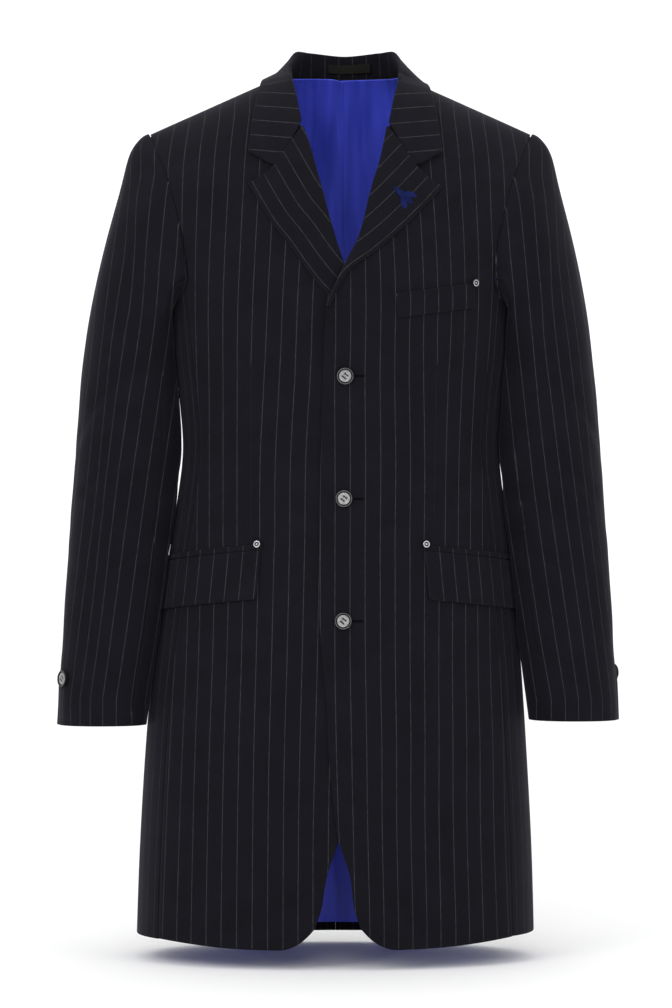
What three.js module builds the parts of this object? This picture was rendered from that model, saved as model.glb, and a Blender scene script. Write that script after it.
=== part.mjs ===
// Long single-breasted blazer, filled out and hollow, with turned lapels and flap pockets.
// Millimetres, +Z up, the front faces -Y and the wearer's left is +X.
// The origin is the middle of the shoulder line, where the wearer holds the garment up.
import * as THREE from 'three';

// Cloth and seams
const CLOTH = 2.0;
const LINING = 1.0;
const GAP = 0.35;
const OVERLAP = { lift: 1.5, reach: 95, fade: 60, top: -150 };
const TUCK = { z: -242, wide: 45, tall: 48, lift: 4.6 };
const SLEEVE_SEAM = 0.8;
const SIDE_SEAM_TURN = 0.0019;

// Body form
const CHEST_Z = -225;
const RIDGE_Y = 8;
const RIDGE_TOP = 38.95;
const RIDGE_SLOPE = 0.444;
const RIDGE_SOFT = 60;
const RIDGE_CLEAR = 0.02;
const TOP_SHARE = 0.999;
const ROUNDNESS = 2.25;
const FRONT_SEAM = 0.877;
const BACK_SEAM = 0.923;
const SHOULDER_X = 215;
const NECK_X = 74;
const UNDERARM = { dip: 37, power: 0.8 };
const YOKE_HALF = 228;
const YOKE_RISE = 120;

// Body sections, a row for each level: half width, depth to the front, depth to the back, sideways shift
const BODY = [
  { z: -990, half: 225, front: 138, back: 140, shift: -6 },
  { z: -860, half: 221, front: 137, back: 139, shift: -5.5 },
  { z: -730, half: 213.6, front: 134, back: 136, shift: -5 },
  { z: -640, half: 206, front: 131, back: 132, shift: -3.5 },
  { z: -550, half: 195, front: 127, back: 124, shift: -1.5 },
  { z: -475, half: 185, front: 122, back: 114, shift: 0 },
  { z: -415, half: 178.5, front: 120, back: 108, shift: 0.5 },
  { z: -360, half: 182, front: 125, back: 112, shift: 0.5 },
  { z: -300, half: 189, front: 131, back: 122, shift: 0.5 },
  { z: -225, half: 195, front: 133, back: 128, shift: 0 },
];

// Front edge below the lapel: middle of the overlap and how far the edge goes past it
const FRONT_EDGE = [
  { z: -939, middle: -3, lap: -25 },
  { z: -917, middle: -3, lap: -18 },
  { z: -881, middle: -2.5, lap: -12.5 },
  { z: -843, middle: -2, lap: 0 },
  { z: -808, middle: -1.5, lap: 5.5 },
  { z: -746, middle: -0.5, lap: 12.5 },
  { z: -693, middle: 0.5, lap: 15.5 },
  { z: -654, middle: 1.5, lap: 20.5 },
  { z: -602, middle: 2.5, lap: 25.5 },
  { z: -470, middle: 3, lap: 25 },
  { z: -361, middle: 3.5, lap: 23.5 },
  { z: -264, middle: 4.5, lap: 20.5 },
];
const BREAK_Z = -264;
const CORNER_RISE = 24;
const CORNER_REACH = 43;
const CORNER_POWER = 2.3;
const HEM = { front: -963, side: -953, back: -972, rightDrop: 3 };

// Roll line of each lapel, from the break up to the gorge: distance from the middle plane
const ROLL_LEFT = [
  { z: -264, x: -16 },
  { z: -248, x: -11 },
  { z: -212, x: 5 },
  { z: -181, x: 20 },
  { z: -129, x: 33 },
  { z: -95, x: 41 },
  { z: -57, x: 49 },
];
const ROLL_RIGHT = [
  { z: -264, x: 25 },
  { z: -248, x: 18 },
  { z: -212, x: 3 },
  { z: -177, x: -7 },
  { z: -124, x: -19 },
  { z: -82, x: -30 },
  { z: -57, x: -41 },
];
const GORGE_Z = -57;
const NECK_CURVE = 0.8;

// Armhole edge: distance from the middle plane at each level
const ARMHOLE_FRONT = [
  { z: -225, x: 171 },
  { z: -184, x: 174 },
  { z: -162, x: 179 },
  { z: -140, x: 184 },
  { z: -104, x: 195 },
  { z: -86, x: 203 },
  { z: -57, x: 215 },
];
const ARMHOLE_BACK = [
  { z: -225, x: 180 },
  { z: -184, x: 181 },
  { z: -140, x: 186 },
  { z: -104, x: 195 },
  { z: -86, x: 203 },
  { z: -57, x: 215 },
];

// Collar, half of it from the gorge to the centre back: seam on the neck, roll and leaf edge
const COLLAR_SEAM = [
  { u: 0.0, x: 45, y: -91, z: -57 },
  { u: 0.13, x: 56, y: -62, z: -30 },
  { u: 0.27, x: 68, y: -30, z: -7 },
  { u: 0.42, x: 74, y: 2, z: 5 },
  { u: 0.58, x: 66, y: 30, z: 9 },
  { u: 0.77, x: 42, y: 52, z: 10 },
  { u: 1.0, x: 0, y: 64, z: 10 },
];
const COLLAR_ROLL = [
  { u: 0.0, x: 45, y: -91, z: -57 },
  { u: 0.13, x: 49, y: -74, z: -31 },
  { u: 0.27, x: 54, y: -50, z: -5 },
  { u: 0.42, x: 60, y: -16, z: 20 },
  { u: 0.58, x: 60, y: 16, z: 36 },
  { u: 0.77, x: 42, y: 44, z: 38 },
  { u: 1.0, x: 0, y: 61, z: 33 },
];
const COLLAR_LEAF = [
  { u: 0.0, x: 106, y: -84, z: -83 },
  { u: 0.13, x: 101, y: -64, z: -55 },
  { u: 0.27, x: 96, y: -38, z: -21 },
  { u: 0.42, x: 93, y: -2, z: -2 },
  { u: 0.58, x: 86, y: 38, z: -3 },
  { u: 0.77, x: 60, y: 70, z: -10 },
  { u: 1.0, x: 0, y: 84, z: -14 },
];
const COLLAR_MIDDLE = 5;
const COLLAR_STAND = 0.34;
const COLLAR_AWAY = { leaf: 3.8, fuller: 1.4, stand: 3.2, inner: 1.2, joint: 0.3 };
const COLLAR_NOTCH = { x: 76, z: -105, across: 0.74, fade: 0.12 };

// Outer edge of each lapel, from the notch end to the break
const LAPEL_LEFT_EDGE = [
  { u: 0, x: 112, z: -126 },
  { u: 0.22, x: 84, z: -156 },
  { u: 0.44, x: 57, z: -182 },
  { u: 0.62, x: 34, z: -201 },
  { u: 0.78, x: 12, z: -217 },
  { u: 0.88, x: -2, z: -236 },
  { u: 1, x: -12, z: -257 },
];
const LAPEL_RIGHT_EDGE = [
  { u: 0, x: -101, z: -122 },
  { u: 0.16, x: -87, z: -147 },
  { u: 0.34, x: -74, z: -168 },
  { u: 0.54, x: -58, z: -188 },
  { u: 0.76, x: -39, z: -215 },
  { u: 0.9, x: -23, z: -235 },
  { u: 1, x: -9, z: -249 },
];
const LAPEL_NOTCH = { x: 79, z: -107, across: 0.72, fade: 0.14 };
const LAPEL_LOFT = { seat: 0.6, middle: 3 };
const LAPEL_LOW = { left: -258, right: -238, gap: 1.6 };

// Sleeve sections below the head: centre, half width, depth and forward set of each level
const SLEEVE = [
  { z: -722, x: 265, y: -34, half: 48.6, depth: 45 },
  { z: -619, x: 256, y: -27, half: 53, depth: 50 },
  { z: -546, x: 250, y: -20, half: 54.5, depth: 56 },
  { z: -477, x: 245, y: -14, half: 55, depth: 62 },
  { z: -398, x: 237, y: -9, half: 57.5, depth: 68 },
  { z: -340, x: 233.5, y: -6, half: 56.5, depth: 71 },
  { z: -290, x: 229.5, y: -4, half: 55.5, depth: 73 },
];
const SLEEVE_TOP_Z = -290;
const SLEEVE_END = { left: -716, right: -721.5 };
const SLEEVE_SHIFT = -2.8;
const SLEEVE_ROUNDNESS = 2.15;
const CLEAR = { gap: 1.4, deeper: 2, wider: 1, side: 0.97, soft: 4 };
const FLAP_ROOM = { low: -640, high: -490, deep: 3.4, fade: 30 };
const HEAD_SHARE = 0.34;
const HEAD = { rise: 50, share: 0.75, start: 1.6, end: 0.95, underReach: 0.27, edgeLift: 0.25 };
const FRONT_SEAM_TURN = 0.36;
const BACK_SEAM_TURN = 0.8;

// Largest folds. Body folds lie on the fronts and backs, sleeve folds go round the sleeves.
const BODY_FOLDS = [
  { face: 'front', x: -52, z: -735, lean: 0.1, wide: 26, long: 120, deep: 5 },
  { face: 'front', x: -130, z: -330, lean: -0.5, wide: 20, long: 60, deep: 4 },
  { face: 'front', x: 132, z: -340, lean: 0.5, wide: 20, long: 60, deep: 4 },
  { face: 'front', x: -30, z: -292, lean: 0.5, wide: 18, long: 40, deep: 3 },
  { face: 'front', x: 150, z: -800, lean: -0.05, wide: 36, long: 130, deep: 4 },
  { face: 'front', x: -150, z: -830, lean: 0.05, wide: 34, long: 110, deep: 4 },
  { face: 'back', x: -95, z: -800, lean: 0.06, wide: 32, long: 150, deep: 5 },
  { face: 'back', x: 102, z: -780, lean: -0.06, wide: 34, long: 160, deep: 5 },
  { face: 'back', x: -120, z: -260, lean: 0.45, wide: 20, long: 70, deep: 4 },
  { face: 'back', x: 122, z: -270, lean: -0.45, wide: 20, long: 70, deep: 4 },
];
const SLEEVE_FOLDS = [
  { turn: 0.3, z: -330, slant: 30, wide: 16, reach: 0.16, deep: 3.5 },
  { turn: 0.42, z: -455, slant: 26, wide: 15, reach: 0.15, deep: 4 },
  { turn: 0.34, z: -500, slant: -22, wide: 13, reach: 0.14, deep: 4 },
  { turn: 0.7, z: -420, slant: 24, wide: 18, reach: 0.14, deep: 3 },
  { turn: 0.2, z: -610, slant: 20, wide: 20, reach: 0.16, deep: 2.5 },
];

// Pockets on the fronts, given by corner: distance from the middle plane and level
const FLAP = {
  frontLeft: 92,
  frontRight: -87,
  left: -526,
  right: -525,
  rise: -14,
  long: 150,
  tall: 54,
  lean: 3,
  seat: 0.7,
  flare: 0.8,
  step: 0.01,
  lastAngle: Math.PI * 0.8,
  panelShare: 0.93,
};
const JET = { tall: 6, deep: 1.4, extra: 2, above: 0.45 };
const WELT = { x: 60, z: -244, far: 147, farZ: -231, tall: 27, lean: 2, seat: 0.6 };
const RIVETS = [
  { name: 'rivet_hip_left', x: 93, z: -519 },
  { name: 'rivet_hip_right', x: -91, z: -519 },
  { name: 'rivet_chest', x: 147, z: -230.5 },
];
const RIVET = { radius: 4.7, tall: 2.6, seat: 2.9 };

// Buttons
const BUTTON = { radius: 9.8, tall: 4.2, dish: 1.3, rim: 2.6, sides: 18, seat: 0.7 };
const FRONT_BUTTONS = [
  { name: 'front_button_top', x: 5, z: -334 },
  { name: 'front_button_middle', x: 3.5, z: -469 },
  { name: 'front_button_lower', x: 3, z: -603 },
];
const CUFF_BUTTONS = [
  { name: 'cuff_button_right', side: -1, turn: 0.085, above: 52 },
  { name: 'cuff_button_left', side: 1, turn: -0.07, above: 52 },
];
const LABEL = { wide: 48, deep: 0.8, offset: 5, seat: 0.3, low: 0.09, high: 0.222, turn: 300 };

const COLOURS = {
  wool: 0x1a1b22,
  lining: 0x24379c,
  button: 0x2a2624,
  metal: 0xb9bcc2,
  label: 0x33331f,
};

// Small sums
const mix = (a, b, t) => a + (b - a) * t;
const clamp = (v, low, high) => Math.min(high, Math.max(low, v));
const smooth = (v) => {
  const t = clamp(v, 0, 1);
  return t * t * (3 - 2 * t);
};
const add = (a, b, k = 1) => [a[0] + b[0] * k, a[1] + b[1] * k, a[2] + b[2] * k];
const sub = (a, b) => add(a, b, -1);
const cross = (a, b) => [a[1] * b[2] - a[2] * b[1], a[2] * b[0] - a[0] * b[2], a[0] * b[1] - a[1] * b[0]];
const unit = (a) => {
  const l = Math.hypot(...a) || 1;
  return [a[0] / l, a[1] / l, a[2] / l];
};

// A value read from a table with a smooth curve through its rows
function along(table, key, at, column) {
  const last = table.length - 1;
  const v = clamp(at, table[0][key], table[last][key]);
  let i = 0;
  while (i < last - 1 && v > table[i + 1][key]) i += 1;
  const slope = (j) => {
    const a = Math.max(0, j - 1);
    const b = Math.min(last, j + 1);
    return (table[b][column] - table[a][column]) / (table[b][key] - table[a][key]);
  };
  const p = table[i];
  const q = table[i + 1];
  const h = q[key] - p[key];
  const t = (v - p[key]) / h;
  const t2 = t * t;
  const t3 = t2 * t;
  return (
    (2 * t3 - 3 * t2 + 1) * p[column] +
    (t3 - 2 * t2 + t) * h * slope(i) +
    (3 * t2 - 2 * t3) * q[column] +
    (t3 - t2) * h * slope(i + 1)
  );
}

// Body surface
const halfAt = (z) => along(BODY, 'z', z, 'half');
const shiftAt = (z) => (z > CHEST_Z ? 0 : along(BODY, 'z', z, 'shift'));
const ridge = (x) => RIDGE_TOP - RIDGE_SLOPE * Math.sqrt(x * x + RIDGE_SOFT);
const hollow = (r) => Math.pow(Math.max(0, 1 - Math.pow(Math.min(1, r), ROUNDNESS)), 1 / ROUNDNESS);

// Depth of the ring that the surface stands on at x, widened above the chest to carry the shoulders
function ringDepth(x, z, face) {
  const level = Math.min(z, CHEST_Z);
  const half = mix(halfAt(level), YOKE_HALF, smooth((z - CHEST_Z) / YOKE_RISE));
  return along(BODY, 'z', level, face) * hollow(Math.abs(x - shiftAt(level)) / half);
}

// Depth of the body at x and z: below the chest the ring, above it a quarter arch to the shoulder ridge
function depthAt(x, z, face) {
  const ring = ringDepth(x, z, face);
  if (z <= CHEST_Z) return ring;
  const t = clamp((z - CHEST_Z) / (ridge(x) - CHEST_Z), 0, 1);
  const from = face === 'front' ? RIDGE_Y : -RIDGE_Y;
  return (ring + from) * Math.sqrt(1 - t * t) - from;
}

function foldAt(x, z, face) {
  let sum = 0;
  for (const f of BODY_FOLDS) {
    if (f.face !== face) continue;
    const across = (x - f.x - (z - f.z) * f.lean) / f.wide;
    const length = (z - f.z) / f.long;
    sum += f.deep * Math.exp(-across * across - length * length);
  }
  return sum;
}

function onBody(x, z, face) {
  const sign = face === 'front' ? -1 : 1;
  return [x, sign * (depthAt(x, z, face) - foldAt(x, z, face)), z];
}

// Outward direction of the body surface, from its slopes
function outward(x, z, face) {
  const e = 0.8;
  if (z > CHEST_Z) {
    const arch = (px, py, pz) => {
      const from = face === 'front' ? RIDGE_Y : -RIDGE_Y;
      const t = (pz - CHEST_Z) / (ridge(px) - CHEST_Z);
      const r = (py - RIDGE_Y) / (ringDepth(px, pz, face) + from);
      return t * t + r * r;
    };
    const y = (face === 'front' ? -1 : 1) * depthAt(x, z, face);
    const slope = (dx, dy, dz) => arch(x + dx, y + dy, z + dz) - arch(x - dx, y - dy, z - dz);
    return unit([slope(e, 0, 0), slope(0, e, 0), slope(0, 0, e)]);
  }
  const du = sub(onBody(x + e, z, face), onBody(x - e, z, face));
  const dv = sub(onBody(x, z, face), onBody(x, z - 2 * e, face));
  const n = unit(cross(du, dv));
  return face === 'front' ? n : [-n[0], -n[1], -n[2]];
}

function frontPoint(x, z, off) {
  return add(onBody(x, z, 'front'), outward(x, z, 'front'), off);
}

// Keeps a point that lies on the shoulders off the body surface
function liftOff(p, off) {
  if (p[2] <= CHEST_Z) return p;
  const face = p[1] < RIDGE_Y ? 'front' : 'back';
  const ring = depthAt(p[0], CHEST_Z, face) + (face === 'front' ? RIDGE_Y : -RIDGE_Y);
  const high = ridge(p[0]) - CHEST_Z;
  const ty = (p[1] - RIDGE_Y) / (ring + off);
  const tz = (p[2] - CHEST_Z) / (high + off);
  const r = Math.hypot(ty, tz);
  if (r >= 1) return p;
  return [p[0], RIDGE_Y + (p[1] - RIDGE_Y) / r, CHEST_Z + (p[2] - CHEST_Z) / r];
}

// Walls: a grid of middle points, given a thickness along its own normals
function gridNormals(grid, closed) {
  const rows = grid.length;
  const cols = grid[0].length;
  return grid.map((row, i) =>
    row.map((p, j) => {
      const up = grid[Math.min(rows - 1, i + 1)][j];
      const down = grid[Math.max(0, i - 1)][j];
      const right = closed ? row[(j + 1) % cols] : row[Math.min(cols - 1, j + 1)];
      const left = closed ? row[(j - 1 + cols) % cols] : row[Math.max(0, j - 1)];
      return unit(cross(sub(right, left), sub(up, down)));
    }),
  );
}

// Closed solid from a grid and its two sides; the normals point out where columns run right and rows run up
function wall(grid, thickness, normals = gridNormals(grid, false)) {
  const rows = grid.length;
  const cols = grid[0].length;
  const points = [];
  for (const side of [0.5, -0.5]) {
    for (let i = 0; i < rows; i += 1) {
      for (let j = 0; j < cols; j += 1) points.push(add(grid[i][j], normals[i][j], side * thickness));
    }
  }
  const at = (side, i, j) => side * rows * cols + i * cols + j;
  const faces = [];
  const quad = (a, b, c, d) => faces.push(a, b, c, a, c, d);
  const back = (a, b, c, d) => faces.push(a, c, b, a, d, c);
  for (let i = 0; i < rows - 1; i += 1) {
    for (let j = 0; j < cols - 1; j += 1) {
      quad(at(0, i, j), at(0, i, j + 1), at(0, i + 1, j + 1), at(0, i + 1, j));
      back(at(1, i, j), at(1, i, j + 1), at(1, i + 1, j + 1), at(1, i + 1, j));
    }
  }
  for (let j = 0; j < cols - 1; j += 1) {
    quad(at(0, 0, j), at(1, 0, j), at(1, 0, j + 1), at(0, 0, j + 1));
    quad(at(0, rows - 1, j + 1), at(1, rows - 1, j + 1), at(1, rows - 1, j), at(0, rows - 1, j));
  }
  for (let i = 0; i < rows - 1; i += 1) {
    quad(at(0, i + 1, 0), at(1, i + 1, 0), at(1, i, 0), at(0, i, 0));
    quad(at(0, i, cols - 1), at(1, i, cols - 1), at(1, i + 1, cols - 1), at(0, i + 1, cols - 1));
  }
  const geometry = new THREE.BufferGeometry();
  geometry.setAttribute('position', new THREE.Float32BufferAttribute(points.flat(), 3));
  geometry.setIndex(faces);
  geometry.computeVertexNormals();
  return geometry;
}

const model = new THREE.Group();
function place(name, geometry, colour, roughness = 0.85, metalness = 0) {
  const material = new THREE.MeshStandardMaterial({ color: colour, roughness, metalness });
  const mesh = new THREE.Mesh(geometry, material);
  mesh.name = name;
  model.add(mesh);
  return mesh;
}

// Grid of a piece: position(s, t) at each column and row; columns run the way that makes normals point out
function grid(columns, rows, position) {
  return rows.map((t) => columns.map((s) => position(s, t)));
}

// Wall of a panel whose points carry their own outward direction; flip turns the columns round
function panel(columns, rows, position, flip, thickness) {
  let g = grid(columns, rows, position);
  if (flip) g = reversed(g);
  return wall(g.map((row) => row.map((q) => q.p)), thickness, g.map((row) => row.map((q) => q.n)));
}
const even = (count) => Array.from({ length: count + 1 }, (_, i) => i / count);
const reversed = (g) => g.map((row) => [...row].reverse());

// Fronts
const LOWER_SHARE = 0.76;
const armholeX = (table, z) => along(table, 'z', z, 'x');

function hemLevel(x, z, side, face) {
  const r = Math.abs(x) / halfAt(z);
  const base = mix(face === 'front' ? HEM.front : HEM.back, HEM.side, smooth(r * r));
  return base - (side < 0 ? HEM.rightDrop * smooth(r) : 0);
}

function frontEdgeX(z, side) {
  if (z >= BREAK_Z) {
    const table = side > 0 ? ROLL_LEFT : ROLL_RIGHT;
    if (z <= GORGE_Z) return along(table, 'z', z, 'x');
    const top = ridge(NECK_X);
    const t = clamp((z - GORGE_Z) / (top - GORGE_Z), 0, 1);
    const start = table[table.length - 1].x;
    return mix(start, side * NECK_X + COLLAR_MIDDLE, Math.pow(t, NECK_CURVE));
  }
  const middle = along(FRONT_EDGE, 'z', z, 'middle');
  return middle - side * along(FRONT_EDGE, 'z', z, 'lap');
}


// How far each front is lifted or sunk where the two cross at the middle
function overlapShift(x, z, side) {
  const near = smooth((OVERLAP.reach - Math.abs(x)) / OVERLAP.fade);
  const below = smooth((OVERLAP.top - z) / OVERLAP.fade);
  const tuck = TUCK.lift * Math.exp(-Math.pow(x / TUCK.wide, 2) - Math.pow((z - TUCK.z) / TUCK.tall, 2));
  return near * below * side * OVERLAP.lift + (side > 0 ? tuck : 0);
}

const ridgeNormal = (side) => unit([side * RIDGE_SLOPE, 0, 1]);

function frontGridPoint(s, t, side) {
  if (t <= LOWER_SHARE) {
    const v = t / LOWER_SHARE;
    let x = 0;
    let z = mix(HEM.front, CHEST_Z, v);
    for (let k = 0; k < 4; k += 1) {
      const inner = frontEdgeX(Math.max(z, FRONT_EDGE[0].z), side);
      const outer = side * FRONT_SEAM * halfAt(z) + shiftAt(z);
      const seam = outer - side * GAP * 0.5;
      x = mix(inner, seam, s);
      const corner = clamp(1 - Math.abs(x - inner) / CORNER_REACH, 0, 1);
      const hem = hemLevel(x, z, side, 'front') + CORNER_RISE * Math.pow(corner, CORNER_POWER);
      z = mix(hem, CHEST_Z, v);
    }
    return { p: frontPoint(x, z, overlapShift(x, z, side) - CLOTH / 2), n: outward(x, z, 'front') };
  }
  const v = (t - LOWER_SHARE) / (1 - LOWER_SHARE);
  const theta = (v * Math.PI) / 2;
  let x = side * mix(0, SHOULDER_X, s);
  let z = CHEST_Z;
  for (let k = 0; k < 7; k += 1) {
    z = mix(CHEST_Z, ridge(x), Math.sin(theta));
    const seam = side * armholeX(ARMHOLE_FRONT, z);
    x = mix(frontEdgeX(z, side), seam, s);
  }
  z = Math.min(mix(CHEST_Z, ridge(x), Math.sin(theta)), ridge(x) - RIDGE_CLEAR);
  if (v > TOP_SHARE) {
    const n = ridgeNormal(side);
    return { p: add([x, RIDGE_Y - GAP / 2, ridge(x)], n, -CLOTH / 2), n };
  }
  return { p: frontPoint(x, z, overlapShift(x, z, side) - CLOTH / 2), n: outward(x, z, 'front') };
}

const FRONT_COLUMNS = [0, 0.035, 0.08, 0.14, 0.22, 0.33, 0.46, 0.6, 0.74, 0.87, 1];
const LOWER_ROWS = even(17);
const UPPER_ROWS = even(9).slice(1);
const PANEL_ROWS = [
  ...LOWER_ROWS.map((v) => v * LOWER_SHARE),
  ...UPPER_ROWS.map((v) => mix(LOWER_SHARE, 1, v)),
];
for (const side of [1, -1]) {
  const g = panel(FRONT_COLUMNS, PANEL_ROWS, (s, t) => frontGridPoint(s, t, side), side < 0, CLOTH);
  place(side > 0 ? 'left_front' : 'right_front', g, COLOURS.wool);
}

// Backs
const BACK_TOP = { z: 10, drop: 4 };
function backGridPoint(s, t, side) {
  const off = -CLOTH / 2;
  const centre = side * GAP * 0.5;
  if (t <= LOWER_SHARE) {
    const v = t / LOWER_SHARE;
    let x = 0;
    let z = mix(HEM.back, CHEST_Z, v);
    for (let k = 0; k < 4; k += 1) {
      const seam = side * BACK_SEAM * halfAt(z) + shiftAt(z) - side * GAP * 0.5;
      x = mix(centre + shiftAt(z), seam, s);
      z = mix(hemLevel(x, z, side, 'back'), CHEST_Z, v);
    }
    const n = outward(x, z, 'back');
    return { p: add(onBody(x, z, 'back'), n, off), n };
  }
  const v = (t - LOWER_SHARE) / (1 - LOWER_SHARE);
  let x = side * mix(0, SHOULDER_X, s);
  let z = CHEST_Z;
  let theta = 0;
  for (let k = 0; k < 7; k += 1) {
    const topX = Math.abs(mix(0, SHOULDER_X, s));
    const neckHalf = NECK_X + side * COLLAR_MIDDLE;
    const neck = BACK_TOP.z - BACK_TOP.drop * Math.pow(topX / neckHalf, 2);
    const share = topX < neckHalf ? clamp((neck - CHEST_Z) / (ridge(topX) - CHEST_Z), 0, 1) : 1;
    theta = v * Math.asin(share);
    z = mix(CHEST_Z, ridge(x), Math.sin(theta));
    x = mix(centre, side * armholeX(ARMHOLE_BACK, z), s);
  }
  z = Math.min(mix(CHEST_Z, ridge(x), Math.sin(theta)), ridge(x) - RIDGE_CLEAR);
  if (theta > TOP_SHARE * (Math.PI / 2)) {
    const n = ridgeNormal(side);
    return { p: add([x, RIDGE_Y + GAP / 2, ridge(x)], n, off), n };
  }
  const n = outward(x, z, 'back');
  return { p: add(onBody(x, z, 'back'), n, off), n };
}

const BACK_COLUMNS = [0, 0.12, 0.24, 0.345, 0.46, 0.59, 0.71, 0.82, 0.92, 1];
for (const side of [1, -1]) {
  const g = panel(BACK_COLUMNS, PANEL_ROWS, (s, t) => backGridPoint(s, t, side), side > 0, CLOTH);
  place(side > 0 ? 'left_back' : 'right_back', g, COLOURS.wool);
}

// Back lining, inside the backs and a little shorter
const LINING_SHORT = 8;
const LINING_GAP = 0.55;
const LINING_DEEP = CLOTH / 2 + LINING / 2 + LINING_GAP;
for (const side of [1, -1]) {
  const inside = (s, t) => {
    const { p, n } = backGridPoint(s, t, side);
    const raise = LINING_SHORT * clamp(1 - t * 6, 0, 1);
    return { p: add([p[0], p[1], p[2] + raise], n, -LINING_DEEP), n };
  };
  const g = panel(BACK_COLUMNS, PANEL_ROWS, inside, side > 0, LINING);
  place(side > 0 ? 'left_back_lining' : 'right_back_lining', g, COLOURS.lining, 0.35);
}

// Side bodies, from the front seam round to the back seam, with the bottom of the armhole at the top
const FRONT_ANGLE = Math.asin(Math.pow(FRONT_SEAM, ROUNDNESS / 2));
const BACK_ANGLE = Math.PI - Math.asin(Math.pow(BACK_SEAM, ROUNDNESS / 2));
function ringPoint(angle, z, side, off) {
  const power = 2 / ROUNDNESS;
  const half = halfAt(z) + off;
  const front = Math.cos(angle) > 0;
  const deep = along(BODY, 'z', z, front ? 'front' : 'back') + off;
  const x = side * half * Math.pow(Math.abs(Math.sin(angle)), power) + shiftAt(z);
  const y = (front ? -1 : 1) * deep * Math.pow(Math.abs(Math.cos(angle)), power);
  return [x, y, z];
}
function sidePoint(angle, z, side) {
  const p = ringPoint(angle, z, side, 0);
  const face = Math.cos(angle) > 0 ? 'front' : 'back';
  const sink = foldAt(p[0], z, face) * smooth(Math.abs(Math.cos(angle)) * 2.6);
  return [p[0], p[1] + (face === 'front' ? sink : -sink), p[2]];
}
function sideNormal(angle, z, side) {
  const e = 0.004;
  const round = sub(sidePoint(angle + e, z, side), sidePoint(angle - e, z, side));
  const rise = sub(sidePoint(angle, z + 1, side), sidePoint(angle, z - 1, side));
  const n = unit(cross(round, rise));
  return side > 0 ? n : [-n[0], -n[1], -n[2]];
}
for (const side of [1, -1]) {
  const g = panel(even(7), LOWER_ROWS, (s, t) => {
    const angle = mix(FRONT_ANGLE + SIDE_SEAM_TURN, BACK_ANGLE - SIDE_SEAM_TURN, s);
    const arch = 1 - Math.pow(2 * s - 1, 2);
    const top = CHEST_Z - UNDERARM.dip * Math.pow(arch, UNDERARM.power);
    const frontHem = hemLevel(FRONT_SEAM * halfAt(HEM.side), HEM.side, side, 'front');
    const backHem = hemLevel(BACK_SEAM * halfAt(HEM.side), HEM.side, side, 'back');
    const z = mix(mix(frontHem, backHem, s), top, t);
    const n = sideNormal(angle, z, side);
    return { p: add(sidePoint(angle, z, side), n, -CLOTH / 2), n };
  }, side < 0, CLOTH);
  place(side > 0 ? 'left_side_body' : 'right_side_body', g, COLOURS.wool);
}

// Armhole loop: turn 0 at the shoulder, then forward, down, back and up
const LOOP = { front: 0.36, back: 0.64 };
function armhole(turn, side) {
  const w = turn - Math.floor(turn);
  if (w <= LOOP.front || w >= LOOP.back) {
    const face = w <= LOOP.front ? 'front' : 'back';
    const table = face === 'front' ? ARMHOLE_FRONT : ARMHOLE_BACK;
    const v = face === 'front' ? 1 - w / LOOP.front : (w - LOOP.back) / (1 - LOOP.back);
    let x = SHOULDER_X;
    let z = CHEST_Z;
    for (let k = 0; k < 7; k += 1) {
      z = mix(CHEST_Z, ridge(x), Math.sin((v * Math.PI) / 2));
      x = armholeX(table, z);
    }
    z = Math.min(z, ridge(x) - RIDGE_CLEAR);
    return { p: onBody(side * x, z, face), n: outward(side * x, z, face) };
  }
  const s = (w - LOOP.front) / (LOOP.back - LOOP.front);
  const arch = 1 - Math.pow(2 * s - 1, 2);
  const z = CHEST_Z - UNDERARM.dip * Math.pow(arch, UNDERARM.power);
  const angle = mix(FRONT_ANGLE, BACK_ANGLE, s);
  const p = ringPoint(angle, z, side, 0);
  const q = ringPoint(angle, z, side, 1);
  return { p, n: unit(sub(q, p)) };
}

// Where the sleeve leaves the armhole it turns from lying on the body to facing it
function seamStart(turn, side) {
  const { p, n } = armhole(turn, side);
  const e = 0.004;
  const run = unit(sub(armhole(turn + e, side).p, armhole(turn - e, side).p));
  let out = unit(cross(run, n));
  if (side > 0) out = [-out[0], -out[1], -out[2]];
  const w = turn - Math.floor(turn);
  const a = smooth(1 - Math.abs(w - 0.5) / HEAD.underReach) * Math.PI;
  const none = [0, 0, 0];
  const direction = unit(add(add(none, out, Math.cos(a)), n, Math.sin(a)));
  const facing = unit(add(add(none, n, Math.cos(a)), out, -Math.sin(a)));
  const lift = (CLOTH / 2) * Math.abs(Math.cos(a)) + HEAD.edgeLift * Math.abs(Math.sin(a));
  const middle = add(p, n, SLEEVE_SEAM + lift);
  return { middle, direction, facing };
}

function sleeveRing(turn, z, side) {
  const a = turn * 2 * Math.PI;
  const power = 2 / SLEEVE_ROUNDNESS;
  const c = Math.cos(a);
  const s = Math.sin(a);
  let fold = 0;
  for (const f of SLEEVE_FOLDS) {
    const w = turn - Math.floor(turn);
    const r = (w - f.turn) / f.reach;
    const h = (z - f.z - f.slant * r) / f.wide;
    fold += f.deep * Math.exp(-h * h - r * r);
  }
  const half = along(SLEEVE, 'z', z, 'half') - CLOTH / 2 - fold;
  const deep = along(SLEEVE, 'z', z, 'depth') - CLOTH / 2 - fold;
  const x = along(SLEEVE, 'z', z, 'x') + Math.sign(c) * half * Math.pow(Math.abs(c), power);
  const y = along(SLEEVE, 'z', z, 'y') - Math.sign(s) * deep * Math.pow(Math.abs(s), power);
  return [side * x + SLEEVE_SHIFT, y, z];
}

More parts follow.
